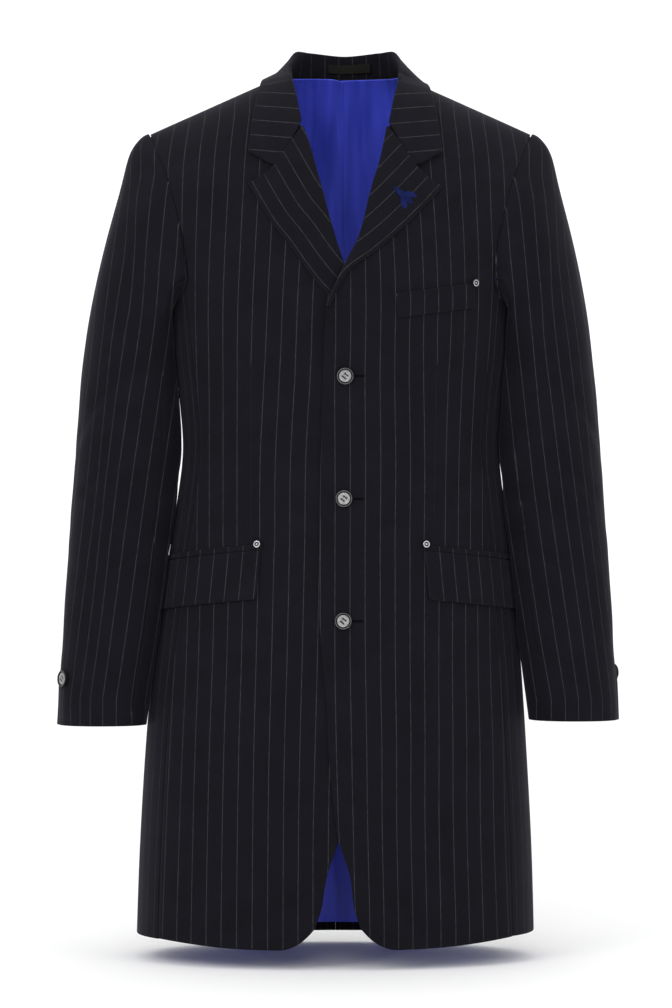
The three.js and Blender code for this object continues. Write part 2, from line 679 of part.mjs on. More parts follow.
// Pushes a sleeve point out until its wall clears the side of the body
function clearOfBody(p, side) {
  if (p[2] > CHEST_Z) return p;
  const face = p[1] < 0 ? 'front' : 'back';
  const { low, high, fade } = FLAP_ROOM;
  const { soft } = CLEAR;
  const deep = along(BODY, 'z', p[2], face) + CLEAR.deeper;
  const r = clamp(Math.abs(p[1]) / deep, 0, CLEAR.side);
  const edge = side * (halfAt(p[2]) + CLEAR.wider) * hollow(r) + shiftAt(p[2]);
  const pocket = FLAP_ROOM.deep * smooth((p[2] - low) / fade) * smooth((high - p[2]) / fade);
  const least = side * edge + CLEAR.gap + CLOTH / 2 + pocket;
  const over = side * p[0] - least;
  const kept = over > soft ? over : over < -soft ? 0 : Math.pow(over + soft, 2) / (4 * soft);
  return [side * (least + kept), p[1], p[2]];
}

function sleevePoint(turn, t, side) {
  const end = side > 0 ? SLEEVE_END.left : SLEEVE_END.right;
  if (t >= HEAD_SHARE) {
    const z = mix(SLEEVE_TOP_Z, end, (t - HEAD_SHARE) / (1 - HEAD_SHARE));
    return clearOfBody(sleeveRing(turn, z, side), side);
  }
  const start = seamStart(turn, side);
  const h = t / HEAD_SHARE;
  const low = clearOfBody(sleeveRing(turn, SLEEVE_TOP_Z, side), side);
  const next = clearOfBody(sleeveRing(turn, SLEEVE_TOP_Z - 4, side), side);
  const down = unit(sub(next, low));
  const reach = Math.hypot(...sub(low, start.middle));
  const pull = Math.min(HEAD.rise, reach * HEAD.share);
  const h2 = h * h;
  const h3 = h2 * h;
  let p = [0, 0, 0];
  p = add(p, start.middle, 2 * h3 - 3 * h2 + 1);
  p = add(p, start.direction, (h3 - 2 * h2 + h) * pull * HEAD.start);
  p = add(p, low, 3 * h2 - 2 * h3);
  p = add(p, down, (h3 - h2) * reach * HEAD.end);
  return h < 0.02 ? p : clearOfBody(p, side);
}

const HEAD_ROWS = [0, 0.06, 0.16, 0.3, 0.48, 0.68, 0.86];
const SLEEVE_ROWS = [...HEAD_ROWS.map((h) => h * HEAD_SHARE), ...even(15).map((v) => mix(HEAD_SHARE, 1, v))];
function sleeveNormal(turn, t, side) {
  if (t < 0.001) return seamStart(turn, side).facing;
  const e = 0.003;
  const round = sub(sleevePoint(turn + e, t, side), sleevePoint(turn - e, t, side));
  const drop = sub(sleevePoint(turn, t + e, side), sleevePoint(turn, t - e, side));
  const n = unit(cross(round, drop));
  return side > 0 ? n : [-n[0], -n[1], -n[2]];
}
function sleevePiece(name, side, from, to, columns) {
  const turns = even(columns).map((v) => mix(from, to, v));
  const rows = [...SLEEVE_ROWS].reverse();
  const at = (turn, t) => ({ p: sleevePoint(turn, t, side), n: sleeveNormal(turn, t, side) });
  place(name, panel(turns, rows, at, side > 0, CLOTH), COLOURS.wool);
}
const TURN_GAP = 0.0009;
for (const side of [1, -1]) {
  const label = side > 0 ? 'left' : 'right';
  sleevePiece(label + '_top_sleeve', side, BACK_SEAM_TURN - 1 + TURN_GAP, FRONT_SEAM_TURN - TURN_GAP, 14);
  sleevePiece(label + '_under_sleeve', side, FRONT_SEAM_TURN + TURN_GAP, BACK_SEAM_TURN - TURN_GAP, 11);
}

// Collar: stand up the neck, roll, and leaf down on to the shoulders, all round the neck
const between = (a, b, t) => [mix(a[0], b[0], t), mix(a[1], b[1], t), mix(a[2], b[2], t)];
const corners = (table) => [table[0].x, table[0].y, table[0].z];
function collarPoint(u, v) {
  const side = u < 0.5 ? -1 : 1;
  const k = u < 0.5 ? u * 2 : (1 - u) * 2;
  const read = (table) => ['x', 'y', 'z'].map((axis) => along(table, 'u', k, axis));
  const roll = read(COLLAR_ROLL);
  let p;
  if (v < COLLAR_STAND) {
    p = between(read(COLLAR_SEAM), roll, v / COLLAR_STAND);
  } else {
    const q = (v - COLLAR_STAND) / (1 - COLLAR_STAND);
    p = between(roll, read(COLLAR_LEAF), q);
    const corner = clamp(1 - k / COLLAR_NOTCH.fade, 0, 1);
    const line = q < COLLAR_NOTCH.across ? q / COLLAR_NOTCH.across : (1 - q) / (1 - COLLAR_NOTCH.across);
    const straight = between(corners(COLLAR_ROLL), corners(COLLAR_LEAF), COLLAR_NOTCH.across);
    p[0] += (COLLAR_NOTCH.x - straight[0]) * line * corner;
    p[2] += (COLLAR_NOTCH.z - straight[2]) * line * corner;
  }
  return [side * p[0] + COLLAR_MIDDLE, p[1], p[2]];
}
const COLLAR_COLUMNS = [0, 0.03, 0.06, 0.1, 0.14, 0.19, 0.24, 0.29, 0.34, 0.4, 0.45, 0.5];
const COLLAR_ROWS = [0, 0.17, 0.34, 0.46, 0.6, 0.72, 0.83, 0.92, 1];
const COLLAR_TURNS = [...COLLAR_COLUMNS, ...COLLAR_COLUMNS.slice(0, -1).reverse().map((u) => 1 - u)];
const collarGrid = COLLAR_ROWS.map((v) =>
  COLLAR_TURNS.map((u) => {
    const p = collarPoint(u, v);
    const k = u < 0.5 ? u * 2 : (1 - u) * 2;
    const isLeaf = v > COLLAR_STAND;
    const fuller = COLLAR_AWAY.fuller * smooth((k - 0.1) / 0.2) * (1 - v);
    const away = CLOTH / 2 + (isLeaf ? COLLAR_AWAY.leaf + fuller : COLLAR_AWAY.stand);
    const raised = liftOff(p, isLeaf || k < COLLAR_AWAY.joint ? away : 0);
    const inner = isLeaf ? 0 : -COLLAR_AWAY.inner * smooth((k - 0.02) / 0.2);
    return [raised[0] + inner * Math.sign(p[0] - COLLAR_MIDDLE), raised[1], raised[2]];
  }),
);
place('collar', wall(collarGrid, CLOTH), COLOURS.wool);

// Lapels, turned out from the roll line and lying on the fronts
const LAPEL_ROWS = [0, 0.07, 0.14, 0.24, 0.34, 0.46, 0.58, 0.7, 0.8, 0.9, 1];
const LAPEL_COLUMNS = [0, 0.12, 0.26, 0.42, 0.58, 0.72, 0.86, 1];
function lapelPoint(u, v, side) {
  const edge = side > 0 ? LAPEL_LEFT_EDGE : LAPEL_RIGHT_EDGE;
  const low = side > 0 ? LAPEL_LOW.left : LAPEL_LOW.right;
  const rollZ = mix(GORGE_Z - LAPEL_LOW.gap, low, u);
  const rollX = along(side > 0 ? ROLL_LEFT : ROLL_RIGHT, 'z', rollZ, 'x');
  const outX = along(edge, 'u', u, 'x');
  const outZ = along(edge, 'u', u, 'z');
  const { across, fade } = LAPEL_NOTCH;
  const corner = clamp(1 - u / fade, 0, 1);
  const line = v < across ? v / across : (1 - v) / (1 - across);
  const notchX = side * LAPEL_NOTCH.x + COLLAR_MIDDLE - mix(rollX, outX, across);
  const notchZ = LAPEL_NOTCH.z - mix(rollZ, outZ, across);
  const x = mix(rollX, outX, v) + notchX * line * corner;
  const z = mix(rollZ, outZ, v) + notchZ * line * corner;
  const fuller = side > 0 ? 1 - 0.5 * u : clamp(1 - 1.25 * u, 0, 1);
  const rise = Math.sin(Math.PI * clamp(v * 1.15, 0, 1));
  const loft = LAPEL_LOFT.seat + (LAPEL_LOFT.seat + LAPEL_LOFT.middle * rise) * fuller;
  return frontPoint(x, z, overlapShift(x, z, side) + CLOTH / 2 + loft);
}
for (const side of [1, -1]) {
  const g = LAPEL_ROWS.map((u) => LAPEL_COLUMNS.map((v) => lapelPoint(u, v, side))).reverse();
  place(side > 0 ? 'left_lapel' : 'right_lapel', wall(side > 0 ? g : reversed(g), CLOTH), COLOURS.wool);
}

// Hip flaps and their jettings follow the front and run on round the side
const FLAP_COLUMNS = [0, 0.12, 0.26, 0.42, 0.58, 0.72, 0.86, 1];
function aroundFront(x, run, z, side, off) {
  const level = Math.min(z, CHEST_Z);
  const across = clamp(Math.abs(x - shiftAt(level)) / halfAt(level), 0, 1);
  let angle = Math.asin(Math.pow(across, ROUNDNESS / 2));
  let gone = 0;
  let at = ringPoint(angle, z, side, off);
  while (gone < run && angle < FLAP.lastAngle) {
    angle += FLAP.step;
    const next = ringPoint(angle, z, side, off);
    gone += Math.hypot(next[0] - at[0], next[1] - at[1]);
    at = next;
  }
  const isFront = Math.cos(angle) > 0;
  const onPanel = Math.abs(at[0]) < halfAt(z) * FLAP.panelShare;
  const sink = onPanel ? foldAt(at[0], z, isFront ? 'front' : 'back') : 0;
  const y = isFront ? at[1] + sink - overlapShift(at[0], z, side) : at[1] - sink;
  return [at[0], y, z];
}
for (const side of [1, -1]) {
  const label = side > 0 ? 'left' : 'right';
  const x = side > 0 ? FLAP.frontLeft : FLAP.frontRight;
  const top = side > 0 ? FLAP.left : FLAP.right;
  const flap = grid(FLAP_COLUMNS, [0, 0.35, 0.7, 1], (s, t) => {
    const z = top + FLAP.rise * s - FLAP.tall * (1 - t);
    const off = FLAP.seat + CLOTH / 2 + FLAP.flare * (1 - t);
    return aroundFront(x + side * FLAP.lean * (1 - t), FLAP.long * s, z, side, off);
  });
  place(label + '_hip_flap', wall(side > 0 ? flap : reversed(flap), CLOTH), COLOURS.wool);
  const jet = grid(FLAP_COLUMNS, [0, 1], (s, t) => {
    const z = top + FLAP.rise * s + JET.above + JET.tall * t;
    const run = (FLAP.long + 2 * JET.extra) * s;
    return aroundFront(x - side * JET.extra, run, z, side, FLAP.seat + JET.deep / 2);
  });
  place(label + '_flap_jetting', wall(side > 0 ? jet : reversed(jet), JET.deep), COLOURS.wool);
}

// Chest welt on the wearer's left front
const welt = grid([0, 0.25, 0.5, 0.75, 1], [0, 0.5, 1], (s, t) => {
  const x = mix(WELT.x, WELT.far, s);
  const z = mix(WELT.z, WELT.farZ, s) - WELT.tall * (1 - t);
  const off = overlapShift(x, z, 1) + WELT.seat + CLOTH / 2;
  return frontPoint(x + WELT.lean * (1 - t) * (1 - s), z, off);
});
place('chest_welt', wall(welt, CLOTH), COLOURS.wool);

// Round pieces: a profile turned about its axis, set with its back on a surface
function turned(profile, sides) {
  const points = profile.map(([r, h]) => new THREE.Vector2(r, h));
  return new THREE.LatheGeometry(points, sides);
}
function setOn(mesh, point, normal) {
  const up = new THREE.Vector3(0, 1, 0);
  mesh.quaternion.setFromUnitVectors(up, new THREE.Vector3(...normal));
  mesh.position.set(...point);
}
const buttonProfile = [
  [0, 0],
  [BUTTON.radius * 0.82, 0],
  [BUTTON.radius, BUTTON.tall * 0.45],
  [BUTTON.radius - BUTTON.rim * 0.5, BUTTON.tall],
  [BUTTON.radius - BUTTON.rim, BUTTON.tall - 0.3],
  [BUTTON.radius - BUTTON.rim * 1.5, BUTTON.tall - BUTTON.dish],
  [0, BUTTON.tall - BUTTON.dish],
];
for (const row of FRONT_BUTTONS) {
  const mesh = place(row.name, turned(buttonProfile, BUTTON.sides), COLOURS.button, 0.35);
  const seat = OVERLAP.lift + BUTTON.seat;
  setOn(mesh, frontPoint(row.x, row.z, seat), outward(row.x, row.z, 'front'));
}
for (const row of CUFF_BUTTONS) {
  const end = row.side > 0 ? SLEEVE_END.left : SLEEVE_END.right;
  const z = end + row.above;
  const share = mix(HEAD_SHARE, 1, (z - SLEEVE_TOP_Z) / (end - SLEEVE_TOP_Z));
  const at = sleevePoint(row.turn, share, row.side);
  const e = 0.01;
  const run = sub(sleevePoint(row.turn + e, share, row.side), sleevePoint(row.turn - e, share, row.side));
  const drop = sub(sleevePoint(row.turn, share + e, row.side), sleevePoint(row.turn, share - e, row.side));
  let n = unit(cross(run, drop));
  if (n[0] * row.side < 0) n = [-n[0], -n[1], -n[2]];
  const mesh = place(row.name, turned(buttonProfile, BUTTON.sides), COLOURS.button, 0.35);
  setOn(mesh, add(at, n, CLOTH / 2 + BUTTON.seat), n);
}
const rivetProfile = [
  [0, 0],
  [RIVET.radius, 0],
  [RIVET.radius, RIVET.tall * 0.4],
  [RIVET.radius * 0.8, RIVET.tall * 0.85],
  [0, RIVET.tall],
];
for (const row of RIVETS) {
  const mesh = place(row.name, turned(rivetProfile, 16), COLOURS.metal, 0.3, 0.9);
  setOn(mesh, frontPoint(row.x, row.z, RIVET.seat), outward(row.x, row.z, 'front'));
}

// Plain label on the inner side of the stand at the centre back
const labelGrid = grid([0, 0.25, 0.5, 0.75, 1], [0, 1], (s, t) => {
  const x = mix(-0.5, 0.5, s) * LABEL.wide + LABEL.offset;
  const p = collarPoint(0.5 + x / LABEL.turn, mix(LABEL.low, LABEL.high, t));
  return [x + COLLAR_MIDDLE, p[1] - CLOTH / 2 - GAP - LABEL.seat - LABEL.deep / 2, p[2]];
});
place('neck_label', wall(labelGrid, LABEL.deep), COLOURS.label, 0.9);

export default model;
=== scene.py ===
import math

import bpy
import numpy as np
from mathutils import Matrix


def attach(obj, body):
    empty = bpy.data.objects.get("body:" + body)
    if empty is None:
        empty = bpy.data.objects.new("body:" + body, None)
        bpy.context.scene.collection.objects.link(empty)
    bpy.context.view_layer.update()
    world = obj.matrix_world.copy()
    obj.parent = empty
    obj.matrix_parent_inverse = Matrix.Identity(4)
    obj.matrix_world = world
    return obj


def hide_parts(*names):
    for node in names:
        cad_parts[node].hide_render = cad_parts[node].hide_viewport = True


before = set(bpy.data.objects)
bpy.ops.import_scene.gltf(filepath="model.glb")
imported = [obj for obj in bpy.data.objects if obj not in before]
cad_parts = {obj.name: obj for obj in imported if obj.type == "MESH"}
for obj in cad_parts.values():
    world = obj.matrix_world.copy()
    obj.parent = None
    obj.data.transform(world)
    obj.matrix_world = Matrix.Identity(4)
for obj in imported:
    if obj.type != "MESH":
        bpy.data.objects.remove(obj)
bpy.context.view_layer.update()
print("frame loaded")

# Lengths are millimetres here and become metres when a mesh is made.
# The front faces -Y, up is +Z, side is 1 for the wearer's left (+X) and -1 for the right.
cloth = 2.0
gap = 0.06
hemRounds, topRounds = 4, 7  # a point's place and its level settle on each other in these rounds
underRidge = 0.02  # points of the fronts and backs stay this far below the shoulder line
noise = np.random.default_rng(7)


def mix(a, b, t):
    return a + (b - a) * t


def smooth(v):
    t = np.clip(v, 0, 1)
    return t * t * (3 - 2 * t)


def bell(v):
    return np.exp(-v * v)


def unit(a):
    return a / np.maximum(np.linalg.norm(a, axis=-1, keepdims=True), 1e-9)


def stack(x, y, z):
    return np.stack(np.broadcast_arrays(x, y, z), axis=-1).astype(float)


def along(table, at, column):  # smooth curve through the rows of a table, read by its first column
    keys = table[:, 0]
    values = table[:, column]
    last = len(keys) - 1
    rows = np.arange(last + 1)
    low = np.maximum(rows - 1, 0)
    high = np.minimum(rows + 1, last)
    slopes = (values[high] - values[low]) / (keys[high] - keys[low])
    v = np.clip(at, keys[0], keys[-1])
    i = np.clip(np.searchsorted(keys, v, side="left") - 1, 0, last - 1)
    h = keys[i + 1] - keys[i]
    t = (v - keys[i]) / h
    t2 = t * t
    t3 = t2 * t
    first = (2 * t3 - 3 * t2 + 1) * values[i] + (t3 - 2 * t2 + t) * h * slopes[i]
    return first + (3 * t2 - 2 * t3) * values[i + 1] + (t3 - t2) * h * slopes[i + 1]


# The camera's place, which the sleeves' stripes are also set out from
view = {"aside": -5.1, "far": 4200, "level": -474.6, "lens": 132.74, "sensor": 36, "stripesFar": 4089}

# Body form, the same as the CAD part's
# level, half width, depth to the front, depth to the back, sideways shift
bodyRings = np.array([
    [-990, 225, 138, 140, -6], [-860, 221, 137, 139, -5.5], [-730, 213.6, 134, 136, -5],
    [-640, 206, 131, 132, -3.5], [-550, 195, 127, 124, -1.5], [-475, 185, 122, 114, 0],
    [-415, 178.5, 120, 108, 0.5], [-360, 182, 125, 112, 0.5], [-300, 189, 131, 122, 0.5],
    [-225, 195, 133, 128, 0]], float)
body = {
    "chestZ": -225, "ridgeY": 8, "ridgeTop": 38.95, "ridgeSlope": 0.444, "ridgeSoft": 60,
    "roundness": 2.25, "frontSeam": 0.877, "backSeam": 0.923, "shoulderX": 215, "neckX": 74,
    "yokeHalf": 228, "yokeRise": 120, "underarmDip": 37, "neckMiddle": 5,
    "armTurn": 0.36, "armBackTurn": 0.64,
}
chestZ = body["chestZ"]

# Folds: face (-1 front, 1 back), middle x and z, lean, width, length, depth. The first ten are the CAD's.
bodyFolds = np.array([
    [-1, -52, -735, 0.1, 26, 120, 5], [-1, -130, -330, -0.5, 20, 60, 4], [-1, 132, -340, 0.5, 20, 60, 4],
    [-1, -30, -292, 0.5, 18, 40, 3], [-1, 150, -800, -0.05, 36, 130, 4], [-1, -150, -830, 0.05, 34, 110, 4],
    [1, -95, -800, 0.06, 32, 150, 5], [1, 102, -780, -0.06, 34, 160, 5],
    [1, -120, -260, 0.45, 20, 70, 4], [1, 122, -270, -0.45, 20, 70, 4],
    # finer creases: drag lines at the buttons, the waist and the armholes, soft hem waves
    [-1, -46, -352, -0.9, 9, 26, 1.6], [-1, 58, -350, 1.0, 8, 28, 1.4], [-1, -70, -395, 2.2, 8, 16, 1.2],
    [-1, 84, -410, -2.4, 7, 15, 1.3], [-1, -110, -448, 3.0, 9, 14, 1.3], [-1, 128, -452, -2.6, 8, 15, 1.2],
    [-1, -138, -205, -0.28, 9, 52, 2.0], [-1, 141, -200, 0.3, 9, 50, 1.9], [-1, 40, -655, 0.22, 14, 90, 1.6],
    [-1, -18, -820, 0.12, 12, 90, 2.2], [-1, 74, -840, -0.08, 16, 110, 2.4],
    [-1, -100, -905, 0.1, 15, 70, 2.0],
    [-1, 112, -700, 0.05, 15, 90, 1.5], [-1, -120, -655, -0.06, 13, 80, 1.4],
    [1, -40, -430, 2.6, 9, 20, 1.8], [1, 46, -446, -2.4, 9, 20, 1.7], [1, -60, -395, 2.2, 8, 18, 1.4],
    [1, 70, -402, -2.3, 8, 17, 1.4], [1, -45, -860, 0.05, 14, 110, 2.6], [1, 38, -850, -0.03, 14, 110, 2.4],
    [1, -150, -560, 0.1, 14, 80, 2.0], [1, 152, -570, -0.1, 14, 80, 2.0], [1, -70, -120, 0.2, 16, 60, 1.8],
    [1, 76, -125, -0.2, 16, 60, 1.8]], float)
waves = {"deep": 0.45, "phase": noise.uniform(0, 6.28, 6)}


def halfAt(z):
    return along(bodyRings, z, 1)


def shiftAt(z):
    return np.where(z > chestZ, 0.0, along(bodyRings, z, 4))


def ridge(x):
    return body["ridgeTop"] - body["ridgeSlope"] * np.sqrt(x * x + body["ridgeSoft"])


def hollow(r):
    power = body["roundness"]
    return np.maximum(0, 1 - np.minimum(1, r) ** power) ** (1 / power)


def ringDepth(x, z, face):
    level = np.minimum(z, chestZ)
    half = mix(halfAt(level), body["yokeHalf"], smooth((z - chestZ) / body["yokeRise"]))
    return along(bodyRings, level, 2 if face < 0 else 3) * hollow(np.abs(x - shiftAt(level)) / half)


def depthAt(x, z, face):
    ring = ringDepth(x, z, face)
    start = -face * body["ridgeY"]
    t = np.clip((z - chestZ) / (ridge(x) - chestZ), 0, 1)
    return np.where(z <= chestZ, ring, (ring + start) * np.sqrt(1 - t * t) - start)


def foldAt(x, z, face):
    deep = 0 * (x + z)
    for side, midX, midZ, lean, wide, long, most in bodyFolds:
        if side != face:
            continue
        across = x - midX - (z - midZ) * lean
        across = across / (wide * math.hypot(1, lean) * np.where(across > 0, 1.15, 0.85))
        deep = deep + most * bell(across) * bell((z - midZ) / long)
    p = waves["phase"]
    rough = np.sin(x / 27 + z / 91 + p[0]) * np.sin(z / 63 + p[1])
    rough = rough + 0.5 * np.sin(x / 12 - z / 47 + p[2] * face)
    return deep + waves["deep"] * rough * smooth((-z + 20) / 60)


def onBody(x, z, face):
    return stack(x, face * (depthAt(x, z, face) - foldAt(x, z, face)), z)


def outward(x, z, face):
    e = 0.8
    start = -face * body["ridgeY"]

    def arch(px, py, pz):
        t = (pz - chestZ) / (ridge(px) - chestZ)
        r = (py - body["ridgeY"]) / (ringDepth(px, pz, face) + start)
        return t * t + r * r

    y = face * depthAt(x, z, face)
    above = unit(stack(arch(x + e, y, z) - arch(x - e, y, z), arch(x, y + e, z) - arch(x, y - e, z),
                       arch(x, y, z + e) - arch(x, y, z - e)))
    across = onBody(x + e, z, face) - onBody(x - e, z, face)
    up = onBody(x, z, face) - onBody(x, z - 2 * e, face)
    below = -face * unit(np.cross(across, up))
    return np.where((z > chestZ)[..., None], above, below)


def ringPoint(angle, z, side, off):
    power = 2 / body["roundness"]
    half = halfAt(z) + off
    isFront = np.cos(angle) > 0
    deep = np.where(isFront, along(bodyRings, z, 2), along(bodyRings, z, 3)) + off
    x = side * half * np.abs(np.sin(angle)) ** power + shiftAt(z)
    y = np.where(isFront, -1, 1) * deep * np.abs(np.cos(angle)) ** power
    return stack(x, y, z)


def angleAt(x, z):
    level = np.minimum(z, chestZ)
    return np.arcsin(np.clip(np.abs(x - shiftAt(level)) / halfAt(level), 0, 1) ** (body["roundness"] / 2))


# Cloth pattern: where each stripe falls, in millimetres across the cloth
stripes = {"pitch": 15.3, "left": -5.8, "right": -21.2, "wide": 0.6, "steps": 28, "sideScale": 0.95,
           "pocketZ": -523, "pocketSlant": 14, "dartTop": -312, "dartSoft": 28}
# level, then how far from the middle some of the stripes run, below the pocket line and above it
lowStripes = {
    1: np.array([
        [-936, 16.2, 47.4, 79.2, 110.1, 126.7, 141.9, 173.2, 199.2],
        [-821, 13.5, 45.2, 76.9, 108, 123.9, 139.1, 169.5, 194.9],
        [-733, 11.8, 44.9, 77, 108.1, 123.6, 139.1, 168.7, 193],
        [-646, 10.4, 43.5, 76.1, 107.9, 123.1, 138, 166, 189.6],
        [-523, 10.2, 43.1, 76.1, 109, 123.9, 138.5, 164.9, 185.7]], float),
    -1: np.array([
        [-936, 30.4, 63.2, 97.1, 131.4, 165, 197.6],
        [-821, 29.9, 62.7, 96.3, 130.1, 162.8, 193.4],
        [-733, 28, 61.3, 95, 128.2, 160.5, 189.2],
        [-646, 25.8, 58.8, 92.8, 125.3, 157.3, 185],
        [-523, 23.1, 56.4, 90, 122.7, 154.3, 181.3]], float),
}
highStripes = {
    1: np.array([
        [-523, 10.3, 43.2, 75.7, 107.8, 115.1, 129.7, 157.4, 178.4],
        [-426, 10.6, 44, 76.8, 108.5, 116.4, 131, 158.2, 180],
        [-338, 10, 43, 75.2, 107.2, 118.8, 134.1, 162.7, 186.7],
        [-295, 11, 43.4, 75.4, 106.4, 121, 136.2, 165.2, 191],
        [-251, 11.1, 43.9, 76, 106.8, 122.2, 137.3, 167.8, 196.3],
        [-196, 10, 42.3, 74, 105.4, 120.8, 136.6, 168.6, 198.2],
        [-141, 6.6, 38.8, 70.6, 102.2, 117.9, 133.9, 166.5, 198.5],
        [-84, 0, 32.4, 64.9, 97.9, 114.4, 131, 164.6, 197.3],
        [-37, -1, 30.9, 62.6, 94.9, 111, 127.1, 160.2, 191.7]], float),
    -1: np.array([
        [-523, 23, 56.1, 89, 114.2, 145.4, 173.5],
        [-426, 21.6, 55.3, 88.6, 114.4, 145.7, 172.9],
        [-338, 17, 50.6, 84.3, 114, 145.8, 173.1],
        [-295, 15, 48.8, 82, 113.7, 146.3, 174.4],
        [-251, 13.8, 47.3, 80.1, 112.9, 146.4, 176],
        [-196, 11.4, 44.3, 77.2, 110.5, 144.9, 176.5],
        [-141, 7.9, 41, 74.3, 107.9, 142, 175.8],
        [-84, 4, 37.6, 71.3, 105.2, 139.4, 174.4],
        [-37, -0.5, 33.2, 67.2, 101.4, 135.3, 169.5]], float),
}
stripeNumbers = {1: (0, 2, 4, 6, 7, 8, 10, 12), -1: (0, 2, 4, 6, 8, 10)}
dartAfter = {1: 4, -1: 3}
# darts: level and how far out
dartLines = {
    1: np.array([[-524, 103], [-420, 105], [-318, 106.5]], float),
    -1: np.array([[-524, 100], [-420, 99.5], [-304, 99]], float),
}


def girth(angle, z):  # length round the body from the middle of the front
    level = np.minimum(z, chestZ) + 0 * angle
    t = np.linspace(0, 1, stripes["steps"])
    turns = angle[..., None] * t
    p = ringPoint(turns, level[..., None] + 0 * turns, 1, 0)
    step = np.hypot(np.diff(p[..., 0], axis=-1), np.diff(p[..., 1], axis=-1))
    return step.sum(axis=-1)


def acrossStripes(out, places, numbers):  # stripe count at a point, from the places of a few stripes
    count = numbers[0] + (out - places[0]) * (numbers[1] - numbers[0]) / (places[1] - places[0])
    for k in range(1, len(numbers) - 1):
        step = (out - places[k]) * (numbers[k + 1] - numbers[k]) / (places[k + 1] - places[k])
        count = np.where(out > places[k], numbers[k] + step, count)
    return count


def frontStripe(x, z, side):  # length across the cloth's pattern, and what the dart takes out of it
    out = side * x
    level = z + stripes["pocketSlant"] * np.clip((out - 90) / 140, 0, 1)
    numbers, after = stripeNumbers[side], dartAfter[side]
    low, high = lowStripes[side], highStripes[side]
    places = [np.where(level < stripes["pocketZ"], along(low, level, k + 1), along(high, level, k + 1))
              for k in range(len(numbers))]
    whole = acrossStripes(out, places, numbers)
    dart = along(dartLines[side], z, 1)
    near = acrossStripes(out, places[:after], numbers[:after])
    far = acrossStripes(out, places[after:], numbers[after:])
    take = acrossStripes(dart, places[after:], numbers[after:])
    take = take - acrossStripes(dart, places[:after], numbers[:after])
    sewn = smooth((stripes["dartTop"] - z) / stripes["dartSoft"]) * (level > stripes["pocketZ"])
    count = mix(whole, np.where(out > dart, far - take, near), sewn)
    phase = stripes["left"] if side > 0 else stripes["right"]
    marks = stack(out - dart, side * take * sewn * stripes["pitch"], 0 * x)
    return phase + side * count * stripes["pitch"], marks


# Shells: every piece of cloth is a closed thin wall with rounded edges
rim = {"radius": 0.8, "turns": (math.pi / 4, math.pi / 2, 3 * math.pi / 4)}


def gridNormals(mid):
    across = np.gradient(mid, axis=1)
    up = np.gradient(mid, axis=0)
    return unit(np.cross(across, up))


def perimeter(rows, cols):
    bottom = [(0, j) for j in range(cols - 1)]
    right = [(i, cols - 1) for i in range(rows - 1)]
    top = [(rows - 1, j) for j in range(cols - 1, 0, -1)]
    left = [(i, 0) for i in range(rows - 1, 0, -1)]
    return np.array(bottom + right + top + left)


def makeMesh(name, points, faces, materials, indices=None, uv=None, marks=None):
    mesh = bpy.data.meshes.new(name)
    mesh.from_pydata((np.asarray(points) / 1000).tolist(), [], [[int(i) for i in face] for face in faces])
    for material in materials:
        mesh.materials.append(material)
    if indices is not None:
        mesh.polygons.foreach_set("material_index", np.asarray(indices, dtype=np.int32))
    mesh.polygons.foreach_set("use_smooth", np.ones(len(mesh.polygons), dtype=bool))
    if uv is not None:
        corners = np.empty(len(mesh.loops), dtype=np.int32)
        mesh.loops.foreach_get("vertex_index", corners)
        layer = mesh.uv_layers.new(name="cloth")
        layer.data.foreach_set("uv", (uv[corners] / 1000).astype(np.float32).ravel())
    if marks is not None:
        mark = mesh.attributes.new("marks", "FLOAT_VECTOR", "POINT")
        mark.data.foreach_set("vector", marks.astype(np.float32).ravel())
    mesh.validate()
    obj = bpy.data.objects.new(name, mesh)
    bpy.context.scene.collection.objects.link(obj)
    return obj


